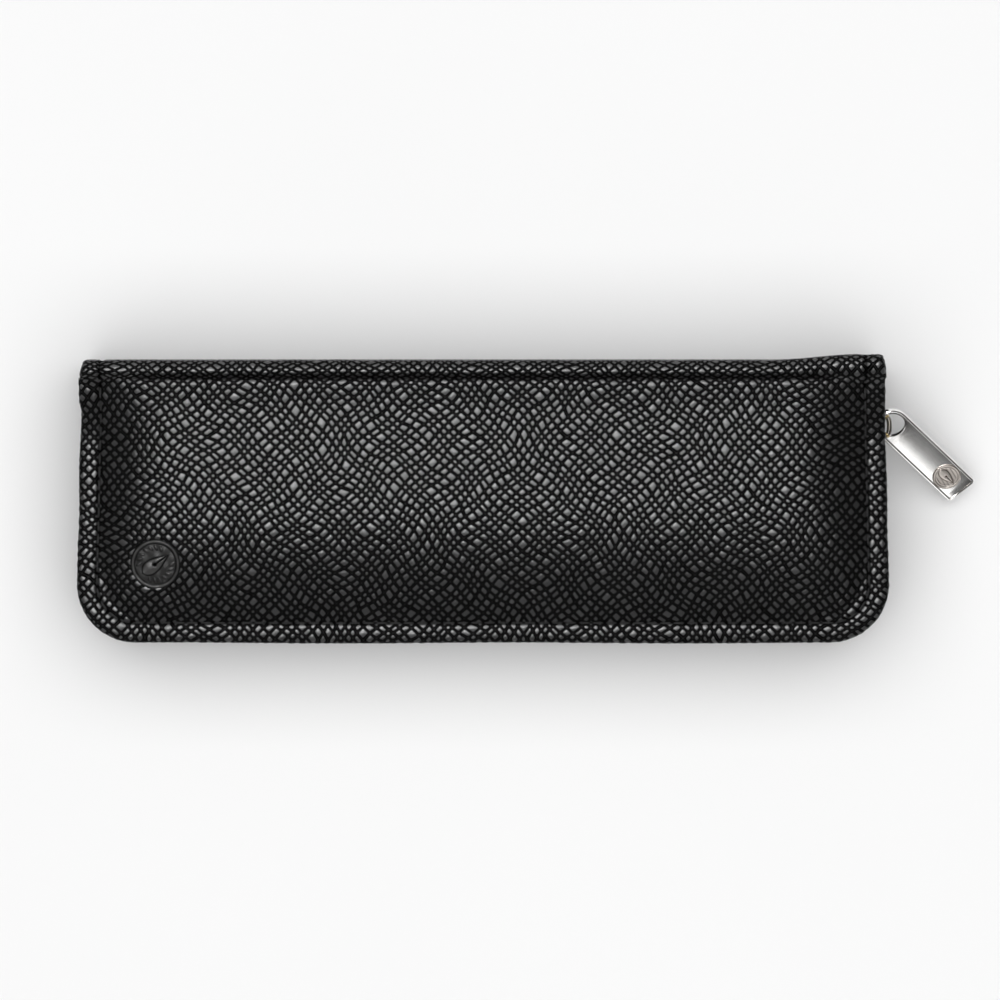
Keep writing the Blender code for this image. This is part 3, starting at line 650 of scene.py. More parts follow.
def make_cover_skin(side):
    """Leather panel with a turned edge, sewn groove, domed middle and a thin inner face."""
    counts = COUNTS[side]
    profile = band_profile(BAND_STEP[side])
    rings = len(profile)
    points, places, amount = [], [], []
    painted_groove_shade = []
    for inset, drop, developed in profile:
        flat = outline_places(counts, inset, TOP_ROW_Y)
        if drop is None:
            z = dome_height(flat[:, 0], flat[:, 1], side)
        else:
            lean = 0.24 * np.clip(1.0 - developed / GROOVE_AT, 0.0, 1.0) * ease(-2.6, -1.0, developed)
            z = RIM_Z + rim_lift(flat[:, 1]) + drop - lean
        points.append(np.column_stack((flat, z)))
        places.append(outline_places(counts, developed, TOP_ROW_Y))
        sewn = 1.0 - math.exp(-(((developed - GROOVE_AT) / 0.36) ** 4))
        under = 1.0 if developed > -1.4 else 0.35
        amount.append(np.full(len(flat), sewn * under * (0.0 if inset == FLANGE_INSET else 1.0)))
        # Painted shade laid along the sewn groove, which darkens the leather's colour and gloss there.
        painted_groove_shade.append(np.full(len(flat), math.exp(-(((developed - GROOVE_AT) / 0.30) ** 4))))
    around = len(points[0])
    flat = patch_places(counts, PATCH_INSET, TOP_ROW_Y)
    rows, columns = flat.shape[0] - 1, flat.shape[1] - 1
    index = np.zeros((rows + 1, columns + 1), int)
    last = (rings - 1) * around
    index[:, 0] = last + np.arange(rows + 1)
    index[rows, :] = last + rows + np.arange(columns + 1)
    index[:, columns] = last + around - 1 - np.arange(rows + 1)
    index[:rows, 1:columns] = rings * around + np.arange(rows * (columns - 1)).reshape(rows, columns - 1)
    inner = flat[:rows, 1:columns].reshape(-1, 2)
    points.append(np.column_stack((inner, dome_height(inner[:, 0], inner[:, 1], side))))
    places.append(inner)
    amount.append(emblem_clear(*inner.T) if side == "front" else np.ones(len(inner)))
    faces = grid_faces(rings, around)
    for row in range(rows):
        for column in range(columns):
            a, b = index[row, column], index[row, column + 1]
            c, d = index[row + 1, column + 1], index[row + 1, column]
            faces.append((a, b, c, d))

    # The end that turns down into the hinge groove
    left_end = [ring * around for ring in range(rings)]
    right_end = [ring * around + around - 1 for ring in range(rings)][::-1]
    end = left_end + list(index[0, 1:columns]) + right_end
    everything = np.vstack(points)
    grains = np.vstack(places)
    base = everything[end]
    base_grain = grains[end]
    inset = half_length(TOP_ROW_Y) - np.abs(base[:, 0])
    top = np.where(inset < SLOPE_AT, RIM_Z + rim_lift(TOP_ROW_Y), base[:, 2])
    below = top > HINGE_GROOVE_Z
    count = len(everything)
    previous = end
    ends = [end]
    for out, share in END_STEPS:
        fall = np.where(below, 1.0 - math.sqrt(1.0 - share**2), share)
        moved = base.copy()
        moved[:, 1] += out
        moved[:, 2] += (HINGE_GROOVE_Z - top) * fall
        row = list(range(count, count + len(end)))
        count += len(end)
        points.append(moved)
        places.append(base_grain + np.array([0.0, out * 1.3]))
        amount.append(np.full(len(end), 1.0 - share))
        for i in range(len(end) - 1):
            faces.append((previous[i], row[i], row[i + 1], previous[i + 1]))
        previous = row
        ends.append(row)

    # Inner face, coarser, one leather thickness inside
    ring = outline_places(counts, FLANGE_INSET, TOP_ROW_Y)[::SPARSE]
    ring = np.column_stack((ring, dome_height(ring[:, 0], ring[:, 1], side) - LEATHER))
    sparse = flat[::SPARSE, ::SPARSE]
    inside = np.dstack((sparse, dome_height(sparse[..., 0], sparse[..., 1], side) - LEATHER))
    r, c = inside.shape[:2]
    ring_start = count
    inside_start = count + len(ring)
    inside_index = inside_start + np.arange(r * c).reshape(r, c)
    border = list(inside_index[:, 0]) + list(inside_index[-1, 1:-1]) + list(inside_index[::-1, -1])
    top_inside = [ring_start] + list(inside_index[0]) + [ring_start + len(ring) - 1]
    row_points = np.vstack((ring[:1], inside[0], ring[-1:]))
    row_points[:, 1] += END_STEPS[-1][0]
    row_points[:, 2] = np.minimum(row_points[:, 2], HINGE_GROOVE_Z - 0.8)
    out_inside = [inside_start + r * c + i for i in range(len(row_points))]
    hidden = np.vstack((ring, inside.reshape(-1, 3), row_points))
    points.append(hidden)
    places.append(hidden[:, :2])
    amount.append(np.zeros(len(hidden)))
    for i in range(len(border) - 1):
        faces.append((ring_start + i, border[i], border[i + 1], ring_start + i + 1))
        fine = [SPARSE * i + k for k in range(SPARSE + 1)]
        faces.append((ring_start + i, ring_start + i + 1, *fine[::-1]))
    for i in range(r - 1):
        for j in range(c - 1):
            a, b = inside_index[i, j], inside_index[i, j + 1]
            faces.append((a, inside_index[i + 1, j], inside_index[i + 1, j + 1], b))
    for i in range(len(top_inside) - 1):
        faces.append((top_inside[i], top_inside[i + 1], out_inside[i + 1], out_inside[i]))
    final = ends[-1]
    for k in range(c - 1):
        fine = final[rings - 1 + SPARSE * k : rings + SPARSE * (k + 1)]
        faces.append((out_inside[k + 1], out_inside[k + 2], *fine[::-1]))
    faces.append((*final[:rings], out_inside[1], out_inside[0]))
    faces.append((*final[-rings:], out_inside[-1], out_inside[-2]))
    faces.append((*[row[0] for row in ends], out_inside[0], ring_start))
    faces.append((*[row[-1] for row in ends], out_inside[-1], ring_start + len(ring) - 1))

    everything = mirrored(hand_shaped(np.vstack(points), side), side)
    grains = np.column_stack((np.vstack(places), np.zeros(len(everything))))
    painted_groove_shade = np.concatenate(painted_groove_shade)
    grains[: len(painted_groove_shade), 2] = painted_groove_shade
    piece = make_piece(
        side + "_leather",
        everything,
        [tuple(int(i) for i in face) for face in faces],
        LEATHER_LOOK,
        BODY[side],
        (side + "_cover",),
        grains,
    )
    set_outward(piece)
    height = GRAIN_HEIGHT * np.concatenate(amount) * pebble_height(grains[:, 0], grains[:, 1], 0.10, 0.34)
    if side == "front":
        away = np.hypot(grains[:, 0] - EMBLEM[0], grains[:, 1] - EMBLEM[1])
        pressed = 1.0 - ease(EMBLEM_R - 0.1, EMBLEM_R + 0.35, away)
        lip = np.exp(-(((away - EMBLEM_R - 0.55) / 0.35) ** 2))
        height = height + np.where(everything[:, 2] > MID_Z + 6.0, 0.04 * lip - 0.20 * pressed, 0.0)
    push_out(piece, height)
    return piece


def set_outward(piece):
    """Turns all faces of a closed mesh outward."""
    bm = bmesh.new()
    bm.from_mesh(piece.data)
    bmesh.ops.recalc_face_normals(bm, faces=bm.faces)
    bm.to_mesh(piece.data)
    bm.free()
    piece.data.update()


# Rolls on the hinge lines and the spine's leather --------------------------------


def spine_flare(x):
    """How far the spine's leather stands out towards its right end."""
    return FLARE * ease(58.0, 76.0, x)


def end_rounding(x, half):
    """Scale of a rolled edge towards its two ends."""
    past = np.clip((np.abs(x) - (half - 1.5)) / 1.56, 0.0, 1.0)
    return np.sqrt(1.0 - past**2)


def extrude_skin(name, x, outer, back, centre, flare, body, stands_for, grain_start, side, crowd=1.0):
    """Leather skin with one profile along X; the outer part of the profile carries the grain."""
    profile = np.vstack((outer, back))
    half = x[-1]
    run = np.concatenate(([0.0], np.cumsum(np.hypot(*np.diff(outer, axis=0).T))))
    sewn = np.exp(-(((np.abs(x) - (half - GROOVE_AT)) / 0.42) ** 2))
    scale = end_rounding(x, half)
    points = np.zeros((len(x), len(profile), 3))
    points[..., 0] = x[:, None]
    points[..., 1] = centre[0] + (profile[:, 0] - centre[0]) * scale[:, None]
    points[..., 2] = centre[1] + (profile[:, 1] - centre[1]) * scale[:, None]
    points[..., 1] += spine_flare(x)[:, None] * flare(profile[:, 0], profile[:, 1])[None, :]
    places = np.zeros((len(x), len(profile), 3))
    places[..., 0] = x[:, None]
    places[:, : len(outer), 1] = grain_start + crowd * run
    # Painted shade along the sewn groove near each end.
    places[:, : len(outer), 2] = np.exp(-(((np.abs(x) - (half - GROOVE_AT)) / 0.30) ** 4))[:, None]
    places[:, len(outer) :, 1] = grain_start - 2.0
    amount = np.zeros((len(x), len(profile)))
    amount[:, 1 : len(outer) - 1] = (1.0 - sewn)[:, None]
    pressed = np.zeros_like(amount)
    pressed[:, 1 : len(outer) - 1] = 0.40 * sewn[:, None]
    faces = grid_faces(len(x), len(profile), closed=True)
    faces.append(tuple(range(len(profile))))
    faces.append(tuple(range((len(x) - 1) * len(profile), len(x) * len(profile))))
    flat = places.reshape(-1, 3)
    piece = make_piece(
        name, mirrored(points.reshape(-1, 3), side), faces, LEATHER_LOOK, body, stands_for, flat
    )
    set_outward(piece)
    height = GRAIN_HEIGHT * amount.ravel() * pebble_height(flat[:, 0], flat[:, 1], 0.10, 0.34)
    push_out(piece, height - pressed.ravel())
    return piece


def make_hinge_roll(side):
    """Leather that rises from the hinge groove and rolls over the edge of the spine."""
    step = BAND_STEP[side]
    half = half_length(PANEL_END_Y) + 0.25
    x = np.linspace(-half, half, 2 * int(half / step) + 1)
    angles = np.radians(np.linspace(148.0, -12.0, 20))
    width = np.where(np.cos(angles) > 0, SPINE_Y - RIDGE_Y, 1.45)
    arc = np.column_stack((RIDGE_Y + width * np.cos(angles), TOP_Z - RIDGE_DROP * (1.0 - np.sin(angles))))
    outer = np.vstack(([(24.85, HINGE_GROOVE_Z - 0.16), (25.1, HINGE_GROOVE_Z - 0.08)], arc))
    back = np.array([(27.9, 22.95), (26.9, 23.25), (25.9, 23.15), (24.85, 23.2)])
    body = BODY[side]
    lift = 1.0 if side == "front" else 0.0

    def stretch(y, z):
        return lift * ease(25.3, 26.9, y)

    centre = (25.2, ROLL_Z - 0.6)
    name = side + "_hinge_roll"
    return extrude_skin(
        name, x, outer, back, centre, stretch, body, (), 25.4, side, 1.45
    )


def make_spine_skin():
    """Leather of the spine, which meets both rolls where they turn to the vertical."""
    half = half_length(PANEL_END_Y)
    x = np.linspace(-half, half, 2 * int(half / 0.37) + 1)
    z = np.linspace(ROLL_Z + 0.05, TOP_Z - ROLL_Z - 0.05, 60)
    swell = 0.30 * np.sin(np.pi * np.clip((z - 2.5) / 20.0, 0.0, 1.0)) ** 0.8
    outer = np.column_stack((SPINE_Y + swell, z))
    back = np.column_stack((np.full(5, SPINE_Y - 0.8), np.linspace(z[-1] + 0.3, z[0] - 0.3, 5)))

    def rise(y, z):
        return ease(12.0, 23.0, z)

    return extrude_skin(
        "spine_leather",
        x,
        outer,
        back,
        (SPINE_Y - 0.5, MID_Z),
        rise,
        "spine",
        ("spine_cover",),
        31.5,
        "front",
    )


for half_name in ("front", "back"):
    make_cover_skin(half_name)
    make_hinge_roll(half_name)
make_spine_skin()


# Stitching and the emblem ----------------------------------------------------------


def resample(path, count):
    """Evenly spaced points on an open path."""
    path = np.asarray(path, float)
    run = np.concatenate(([0.0], np.cumsum(np.linalg.norm(np.diff(path, axis=0), axis=1))))
    spots = np.linspace(0.0, run[-1], count)
    return np.column_stack([np.interp(spots, run, path[:, k]) for k in range(path.shape[1])]), run[-1]


def sweep(path, radius, sides=8, closed=False, squeeze=1.0, up=(0.0, 0.0, 1.0), caps=True):
    """Round tube along a path: points and faces. A radius may be given for each point."""
    path = np.asarray(path, float)
    count = len(path)
    radius = np.broadcast_to(radius, (count,))
    if closed:
        forward = np.roll(path, -1, axis=0) - np.roll(path, 1, axis=0)
    else:
        forward = np.gradient(path, axis=0)
    forward /= np.linalg.norm(forward, axis=1)[:, None]
    across = np.cross(forward, np.array(up, float))
    across /= np.linalg.norm(across, axis=1)[:, None]
    rise = np.cross(across, forward)
    angle = np.linspace(0.0, 2.0 * math.pi, sides, endpoint=False)
    ring = (
        across[:, None] * np.cos(angle)[None, :, None]
        + squeeze * rise[:, None] * np.sin(angle)[None, :, None]
    )
    points = (path[:, None] + ring * radius[:, None, None]).reshape(-1, 3)
    faces = grid_faces(count, sides, closed=True)
    if closed:
        last = (count - 1) * sides
        for i in range(sides):
            j = (i + 1) % sides
            faces.append((last + i, last + j, j, i))
    elif caps:
        faces.append(tuple(range(sides)))
        faces.append(tuple(range((count - 1) * sides, count * sides)))
    return points, faces


def gather(parts):
    """Joins (points, faces) parts into one list of points and faces."""
    points, faces, start = [], [], 0
    for part_points, part_faces in parts:
        points.append(part_points)
        faces += [tuple(start + i for i in face) for face in part_faces]
        start += len(part_points)
    return np.vstack(points), faces


def stitch_row(path, length=2.3, gap=0.45, radius=0.19, sink=0.16):
    """Stitches along a path; each one dives into the leather at its ends."""
    path, total = resample(path, 1200)
    count = int(total / (length + gap))
    parts = []
    for number in range(count):
        start = (number + 0.5) / count * total - length / 2
        shares = np.linspace(0.0, 1.0, 7)
        spots = (start + shares * length) / total * (len(path) - 1)
        middle = np.column_stack([np.interp(spots, np.arange(len(path)), path[:, k]) for k in range(3)])
        bow = np.sin(np.pi * shares)
        middle[:, 2] += sink * (bow - 0.8)
        parts.append(sweep(middle, radius * (0.35 + 0.65 * bow**0.5), sides=6))
    return gather(parts)


def make_topstitch(side):
    flat = outline_places(COUNTS[side], GROOVE_AT, TOP_ROW_Y - 0.5)
    z = RIM_Z + rim_lift(flat[:, 1]) - 0.30
    points, faces = stitch_row(np.column_stack((flat, z)))
    points = mirrored(hand_shaped(points, side), side)
    body = BODY[side]
    piece = make_piece(
        side + "_stitching", points, faces, THREAD_LOOK, body,
        (side + "_topstitch",), points[:, :2],
    )
    set_outward(piece)


def nib_relief(u, v):
    """Relief of a plain pen nib in a round field: u runs along it and v across."""
    share = np.clip((u + 3.1) / 6.2, 0.0, 1.0)
    half = 1.45 * np.sin(np.pi * np.clip(share, 0.0, 1.0) ** 0.62) ** 0.9
    half = np.where((u > -3.1) & (u < 3.1), half, 0.0) + 1e-6
    body = np.clip(1.0 - (np.abs(v) / half) ** 2.4, 0.0, 1.0) ** 0.6
    slit = np.exp(-((v / 0.16) ** 2)) * ease(-0.1, 0.4, u) * ease(3.0, 2.6, u)
    hole = np.exp(-((np.hypot(u + 0.15, v) / 0.42) ** 4))
    lines = np.exp(-(((np.abs(v) - half) / 0.17) ** 2)) * ease(3.5, 3.2, np.abs(u))
    return body - 0.75 * slit - 0.9 * hole, np.maximum(np.maximum(lines, slit), hole)


def make_emblem():
    """Smooth round emblem pressed into the leather: a rim, a nib and two plain sprays."""
    radii = np.linspace(0.0, EMBLEM_R + 0.25, 56)[1:]
    count = 176
    angle = np.linspace(0.0, 2.0 * math.pi, count, endpoint=False)
    r, t = np.meshgrid(radii, angle, indexing="ij")
    x, y = r * np.cos(t), r * np.sin(t)
    turn = math.radians(35.0)
    u = x * math.cos(turn) + y * math.sin(turn)
    v = y * math.cos(turn) - x * math.sin(turn)
    rim = np.exp(-(((r - EMBLEM_R + 0.30) / 0.24) ** 2))
    spray = np.zeros_like(r)
    for number in range(7):
        centre = 0.62 + 0.32 * number
        for sign in (-1.0, 1.0):
            du = 3.35 * math.cos(centre) * -1.0 - u
            dv = sign * 3.35 * math.sin(centre) - v
            lean = centre * sign * -1.0 + 0.5
            p = du * math.cos(lean) + dv * math.sin(lean)
            q = dv * math.cos(lean) - du * math.sin(lean)
            leaf = np.clip(1.0 - (p / 0.62) ** 2 - (q / 0.24) ** 2, 0.0, 1.0) ** 0.5
            spray = np.maximum(spray, leaf)
    field = 0.05 * np.sin(2.1 * x + 0.6) * np.sin(1.7 * y)
    spray = spray * ease(4.1, 3.9, r)
    nib, nib_lines = nib_relief(u, v)
    relief = 0.20 * rim + 0.30 * nib + 0.20 * spray + field
    # Painted light: the pressed rings, the nib's outline and the sloping sides of the leaves are painted
    # black as shade, and the raised rim, nib and sprays lighter as highlight, on leather of one colour.
    ring_lines = np.exp(-(((r - EMBLEM_R + 0.72) / 0.12) ** 2))
    ring_lines = ring_lines + np.exp(-(((r - EMBLEM_R - 0.10) / 0.14) ** 2))
    leaf_lines = 0.8 * ease(0.02, 0.3, spray) * ease(0.85, 0.45, spray)
    dark = np.clip(np.maximum(np.maximum(nib_lines, ring_lines), leaf_lines), 0.0, 1.0)
    tone = (1.0 - dark) * (0.45 + 0.55 * np.clip(rim + np.clip(nib, 0.0, 1.0) + spray, 0.0, 1.0))
    cx, cy = EMBLEM
    face = dome_height(cx + x, cy + y, "front") - 0.06 + relief * 1.7
    centre_z = dome_height(np.array([cx]), np.array([cy]), "front")[0] - 0.03
    low = dome_height(cx + x[-1], cy + y[-1], "front") - 0.5
    points = np.vstack((
        np.column_stack(((cx + x).ravel(), (cy + y).ravel(), face.ravel())),
        np.column_stack((cx + x[-1], cy + y[-1], low)),
        [(cx, cy, centre_z - 0.12), (cx, cy, centre_z - 0.5)],
    ))
    rows = len(radii)
    faces = grid_faces(rows + 1, count, closed=True)
    top, bottom = len(points) - 2, len(points) - 1
    for i in range(count):
        j = (i + 1) % count
        faces.append((top, i, j))
        faces.append((bottom, rows * count + j, rows * count + i))
    places = np.zeros((len(points), 2))
    places[:rows * count, 0] = tone.ravel()
    places[-2, 0] = tone[0].mean()
    piece = make_piece("cover_emblem", points, faces, SMOOTH_LOOK, "front", (), places)
    set_outward(piece)


# Layers inside the panels ---------------------------------------------------------------


LAYER_COUNTS = (28, 12, 100)


def lining_height(x, y, side):
    """Outer face of the lining: flat under the tape, then up inside the dome."""
    inset = np.minimum(half_length(y) - np.abs(x), y - FREE_Y)
    corner = np.hypot(np.abs(x) - CORNER_X, y - CORNER_Y)
    in_corner = (np.abs(x) > CORNER_X) & (y < CORNER_Y)
    inset = np.where(in_corner, CORNER_R - corner, inset)
    width = 1.3 if side == "front" else 3.2
    climb = ease(9.0, 9.0 + width, inset)
    rim = RIM_Z + rim_lift(y) - 2.1
    low = dome_height(x, y, side) - 4.5
    return rim * (1 - climb) + np.maximum(low, rim) * climb


def make_layer(name, side, inset, height, thickness, look, stands_for, top_y=23.4, puff=0.0):
    """Closed sheet or pad that fills the outline at an inset; the height gives its outer face."""
    flat = patch_places(LAYER_COUNTS, inset, top_y)
    rows, columns = flat.shape[:2]
    x, y = flat[..., 0], flat[..., 1]
    v = np.linspace(0.0, 1.0, rows)[:, None]
    u = np.linspace(0.0, 1.0, columns)[None, :]
    edge = np.minimum(np.minimum(u, 1 - u) * columns, np.minimum(v, 1 - v) * rows)
    share = 1.0 - (1.0 - np.clip(edge / 3.0, 0.0, 1.0)) ** 2
    full = thickness * (0.45 + 0.55 * share)
    middle = height(x, y) - 0.5 * thickness
    swell = puff * np.sin(0.42 * x + 0.3) * np.sin(0.55 * y) * share
    top = np.dstack((flat, middle + 0.5 * full + swell))
    low = np.dstack((flat, middle - 0.5 * full + swell))
    points = np.vstack((top.reshape(-1, 3), low.reshape(-1, 3)))
    shift = rows * columns
    faces = grid_faces(rows, columns) + grid_faces(rows, columns, start=shift, flip=True)
    index = np.arange(shift).reshape(rows, columns)
    border = list(index[0]) + list(index[1:, -1]) + list(index[-1, -2::-1]) + list(index[-2:0:-1, 0])
    for a, b in zip(border, border[1:] + border[:1]):
        faces.append((a, b, b + shift, a + shift))
    body = BODY[side]
    places = points[:, :2].copy()
    piece = make_piece(
        name,
        mirrored(points, side),
        [tuple(int(i) for i in face) for face in faces],
        look,
        body,
        stands_for,
        places,
    )
    set_outward(piece)
    return piece


def make_layers(side):
    start = 0.30 if side == "front" else 0.55
    inset = SLOPE_AT + start * 0.5 * (SLOPE[side][0] + SLOPE[side][1])
    pad = make_layer(
        side + "_foam_pad",
        side,
        inset,
        lambda x, y: dome_height(x, y, side) - 1.35,
        1.7,
        FOAM_LOOK,
        (side + "_padding",),
        puff=0.03,
    )
    make_layer(
        side + "_lining_cloth",
        side,
        6.95,
        lambda x, y: lining_height(x, y, side),
        0.5,
        LINING_LOOK,
        (side + "_lining",),
        puff=0.04,
    )
    flat = outline_places(LAYER_COUNTS, 9.6, 22.4)
    z = lining_height(flat[:, 0], flat[:, 1], side) - 0.62
    points, faces = stitch_row(np.column_stack((flat, z)), length=2.0, radius=0.13, sink=-0.10)
    body = BODY[side]
    points = mirrored(points, side)
    piece = make_piece(
        side + "_lining_stitches", points, faces, THREAD_LOOK, body, (), points[:, :2]
    )
    set_outward(piece)


# Zip -------------------------------------------------------------------------------------


def wall_path(offset, start_y, end_y, step):
    """Even points on the zip wall at an outward offset, from the left end to the right one."""
    angle = np.linspace(math.pi, 1.5 * math.pi, 24)
    radius = WALL_R + offset
    centre = (WALL_X - WALL_R, WALL_Y + WALL_R)
    corner = np.column_stack((-centre[0] + radius * np.cos(angle), centre[1] + radius * np.sin(angle)))
    path = np.vstack((
        [(-WALL_X - offset, start_y)],
        corner,
        corner[::-1] * np.array([-1.0, 1.0]),
        [(WALL_X + offset, end_y)],
    ))
    run = np.linalg.norm(np.diff(path, axis=0), axis=1).sum()
    return resample(path, int(run / step) + 1)[0]


def make_tape(side):
    """Woven tape: a wall that stands on the teeth's cord and a flange sewn under the rim."""
    centre = wall_path(0.0, TAPE_REACH_Y, TAPE_REACH_Y, 0.8)
    forward = np.gradient(centre, axis=0)
    forward /= np.linalg.norm(forward, axis=1)[:, None]
    outward = np.column_stack((forward[:, 1], -forward[:, 0]))
    outward *= np.sign(outward[:1] @ np.array([[-1.0], [0.0]]))
    lift = rim_lift(centre[:, 1])
    top = RIM_Z - LEATHER - 0.55
    low = MID_Z + 2.75
    half = 0.24
    profile = [
        (half, low, 0.0), (half + 0.14, low + 0.35, 0.0), (half, low + 0.8, 0.1), (half, low + 1.6, 0.4),
        (half, top - 0.2, 1.0), (half - 0.12, top + 0.22, 1.0),
        (-0.3, top + half, 1.0), (-1.3, top + half, 1.0),
        (-2.3, top + half, 1.0), (-2.4, top - half, 1.0), (-1.3, top - half, 1.0), (-0.5, top - half, 1.0),
        (-half, top - 0.5, 1.0), (-half, low + 1.6, 0.4), (-half, low + 0.8, 0.1),
        (-half - 0.14, low + 0.35, 0.0), (-half, low, 0.0),
    ]
    closing = ease(TAPE_TOP_Y - 0.2, TAPE_TOP_Y + 1.2, centre[:, 1]) * (low - MID_Z - 0.12)
    run = np.arange(len(centre)) * 0.8
    points = np.zeros((len(centre), len(profile), 3))
    places = np.zeros((len(centre), len(profile), 2))
    across = 0.0
    for i, (offset, z, share) in enumerate(profile):
        wave = 0.05 * np.sin(0.6 * run)
        points[:, i, :2] = centre + (offset + wave)[:, None] * outward
        points[:, i, 2] = z + share * lift - closing * (1.0 - ease(low, low + 2.0, z))
        if i:
            across += math.hypot(offset - profile[i - 1][0], z - profile[i - 1][1])
        places[:, i] = np.column_stack((run, np.full(len(run), across)))
    faces = grid_faces(len(centre), len(profile), closed=True)
    faces.append(tuple(range(len(profile))))
    faces.append(tuple(range((len(centre) - 1) * len(profile), len(centre) * len(profile))))
    body = BODY[side]
    piece = make_piece(
        side + "_tape",
        mirrored(points.reshape(-1, 3), side),
        faces,
        TAPE_LOOK,
        body,
        (side + "_zip_tape",),
        places.reshape(-1, 2),
    )
    set_outward(piece)


TOOTH_PITCH = 2.0
TOOTH_LEVELS = (                # height from the mid plane, half width across, half length along
    (2.55, 0.85, 0.30),
    (2.40, 1.02, 0.42),
    (1.30, 1.05, 0.46),
    (0.85, 0.96, 0.40),
    (0.45, 0.80, 0.28),
    (0.05, 0.86, 0.36),
    (-0.35, 0.86, 0.42),
    (-0.55, 0.70, 0.26),
)


def make_teeth(side):
    """Metal teeth, each one reaching between two of the other side's."""
    path = wall_path(0.0, 17.4, 19.7, TOOTH_PITCH / 2)
    forward = np.gradient(path, axis=0)
    forward /= np.linalg.norm(forward, axis=1)[:, None]
    first = 0 if side == "front" else 1
    corners = [(1.0, 0.5), (0.7, 1.0), (-0.7, 1.0), (-1.0, 0.5)]
    corners += [(-a, -b) for a, b in corners]
    parts = []
    for spot, ahead in zip(path[first::2], forward[first::2]):
        out = np.array([ahead[1], -ahead[0]])
        rows = []
        for z, half_out, half_along in TOOTH_LEVELS:
            for a, b in corners:
                flat = spot + out * (half_out * a) + ahead * (half_along * b)
                rows.append((flat[0], flat[1], MID_Z + z))
        faces = grid_faces(len(TOOTH_LEVELS), 8, closed=True)
        faces.append(tuple(range(8)))
        faces.append(tuple(range((len(TOOTH_LEVELS) - 1) * 8, len(TOOTH_LEVELS) * 8)))
        parts.append((np.array(rows), faces))
    points, faces = gather(parts)
    body = BODY[side]
    piece = make_piece(
        side + "_teeth", mirrored(points, side), faces, BRASS_LOOK, body, (side + "_zip_chain",)
    )
    set_outward(piece)
    bevel_edges(piece, 0.07, 1)


def bevel_edges(piece, width, segments=2, angle=30.0):
    """Rounds a metal piece's edges and applies the result."""
    rounding = piece.modifiers.new("rounding", "BEVEL")
    rounding.width = width * MM
    rounding.segments = segments
    rounding.angle_limit = math.radians(angle)
    apply_modifiers(piece)
    piece.data.shade_smooth()
    piece.data.set_sharp_from_angle(angle=math.radians(50))


def apply_modifiers(piece):
    bpy.context.view_layer.update()
    evaluated = piece.evaluated_get(bpy.context.evaluated_depsgraph_get())
    mesh = bpy.data.meshes.new_from_object(evaluated)
    piece.modifiers.clear()
    old = piece.data
    piece.data = mesh
    bpy.data.meshes.remove(old)


def ring_stack(outlines):
    """Closed solid through a stack of outlines that have the same number of points."""
    count = len(outlines[0])
    faces = grid_faces(len(outlines), count, closed=True)
    faces.append(tuple(range(count)))
    faces.append(tuple(range((len(outlines) - 1) * count, len(outlines) * count)))
    return np.vstack(outlines), faces


def make_stop(name):
    """Pressed metal clamp with a groove round its middle, in place of a CAD block."""
    low, high = node_box(name)
    centre, half = (low + high) / 2, (high - low) / 2
    angle = np.linspace(0.0, 2.0 * math.pi, 20, endpoint=False)
    outlines = []
    c, d = np.cos(angle), np.sin(angle)
    upper = [(0.10, 0.92), (0.25, 1.0), (0.88, 0.97), (1.0, 0.80)]
    lower = [(-share, scale) for share, scale in upper[::-1]]
    for share, scale in lower + upper:
        x = centre[0] + half[0] * scale * np.sign(c) * np.abs(c) ** 0.5
        y = centre[1] + half[1] * scale * np.sign(d) * np.abs(d) ** 0.5
        outlines.append(np.column_stack((x, y, np.full_like(x, centre[2] + half[2] * share))))
    points, faces = ring_stack(outlines)
    body = "front" if name.startswith("front") else "root"
    piece = make_piece(name.replace("stop", "clamp"), points, faces, BRASS_LOOK, body, (name,))
    set_outward(piece)


# Slider, crown and puller --------------------------------------------------------------------


def slider_outline(length, half_height, count=40):
    """Slider plate seen square on: shoulders at one end, narrowing to the other."""
    angle = np.linspace(0.0, 2.0 * math.pi, count, endpoint=False)
    c, d = np.cos(angle), np.sin(angle)
    y = 0.5 * length * np.sign(c) * np.abs(c) ** 0.62
    waist = 0.78 + 0.22 * ease(-0.45, 0.30, y / length)
    z = half_height * np.sign(d) * np.abs(d) ** 0.55 * waist
    return y, z


def slider_plate(inner_x, outer_x, centre_y, length, half_height):
    y, z = slider_outline(length, half_height)
    outlines = []
    for share, scale in ((0.0, 0.96), (0.12, 1.0), (0.62, 1.0), (0.88, 0.93), (1.0, 0.80)):
        x = inner_x + (outer_x - inner_x) * share
        outlines.append(np.column_stack((np.full_like(y, x), centre_y + y * scale, MID_Z + z * scale)))
    return ring_stack(outlines)


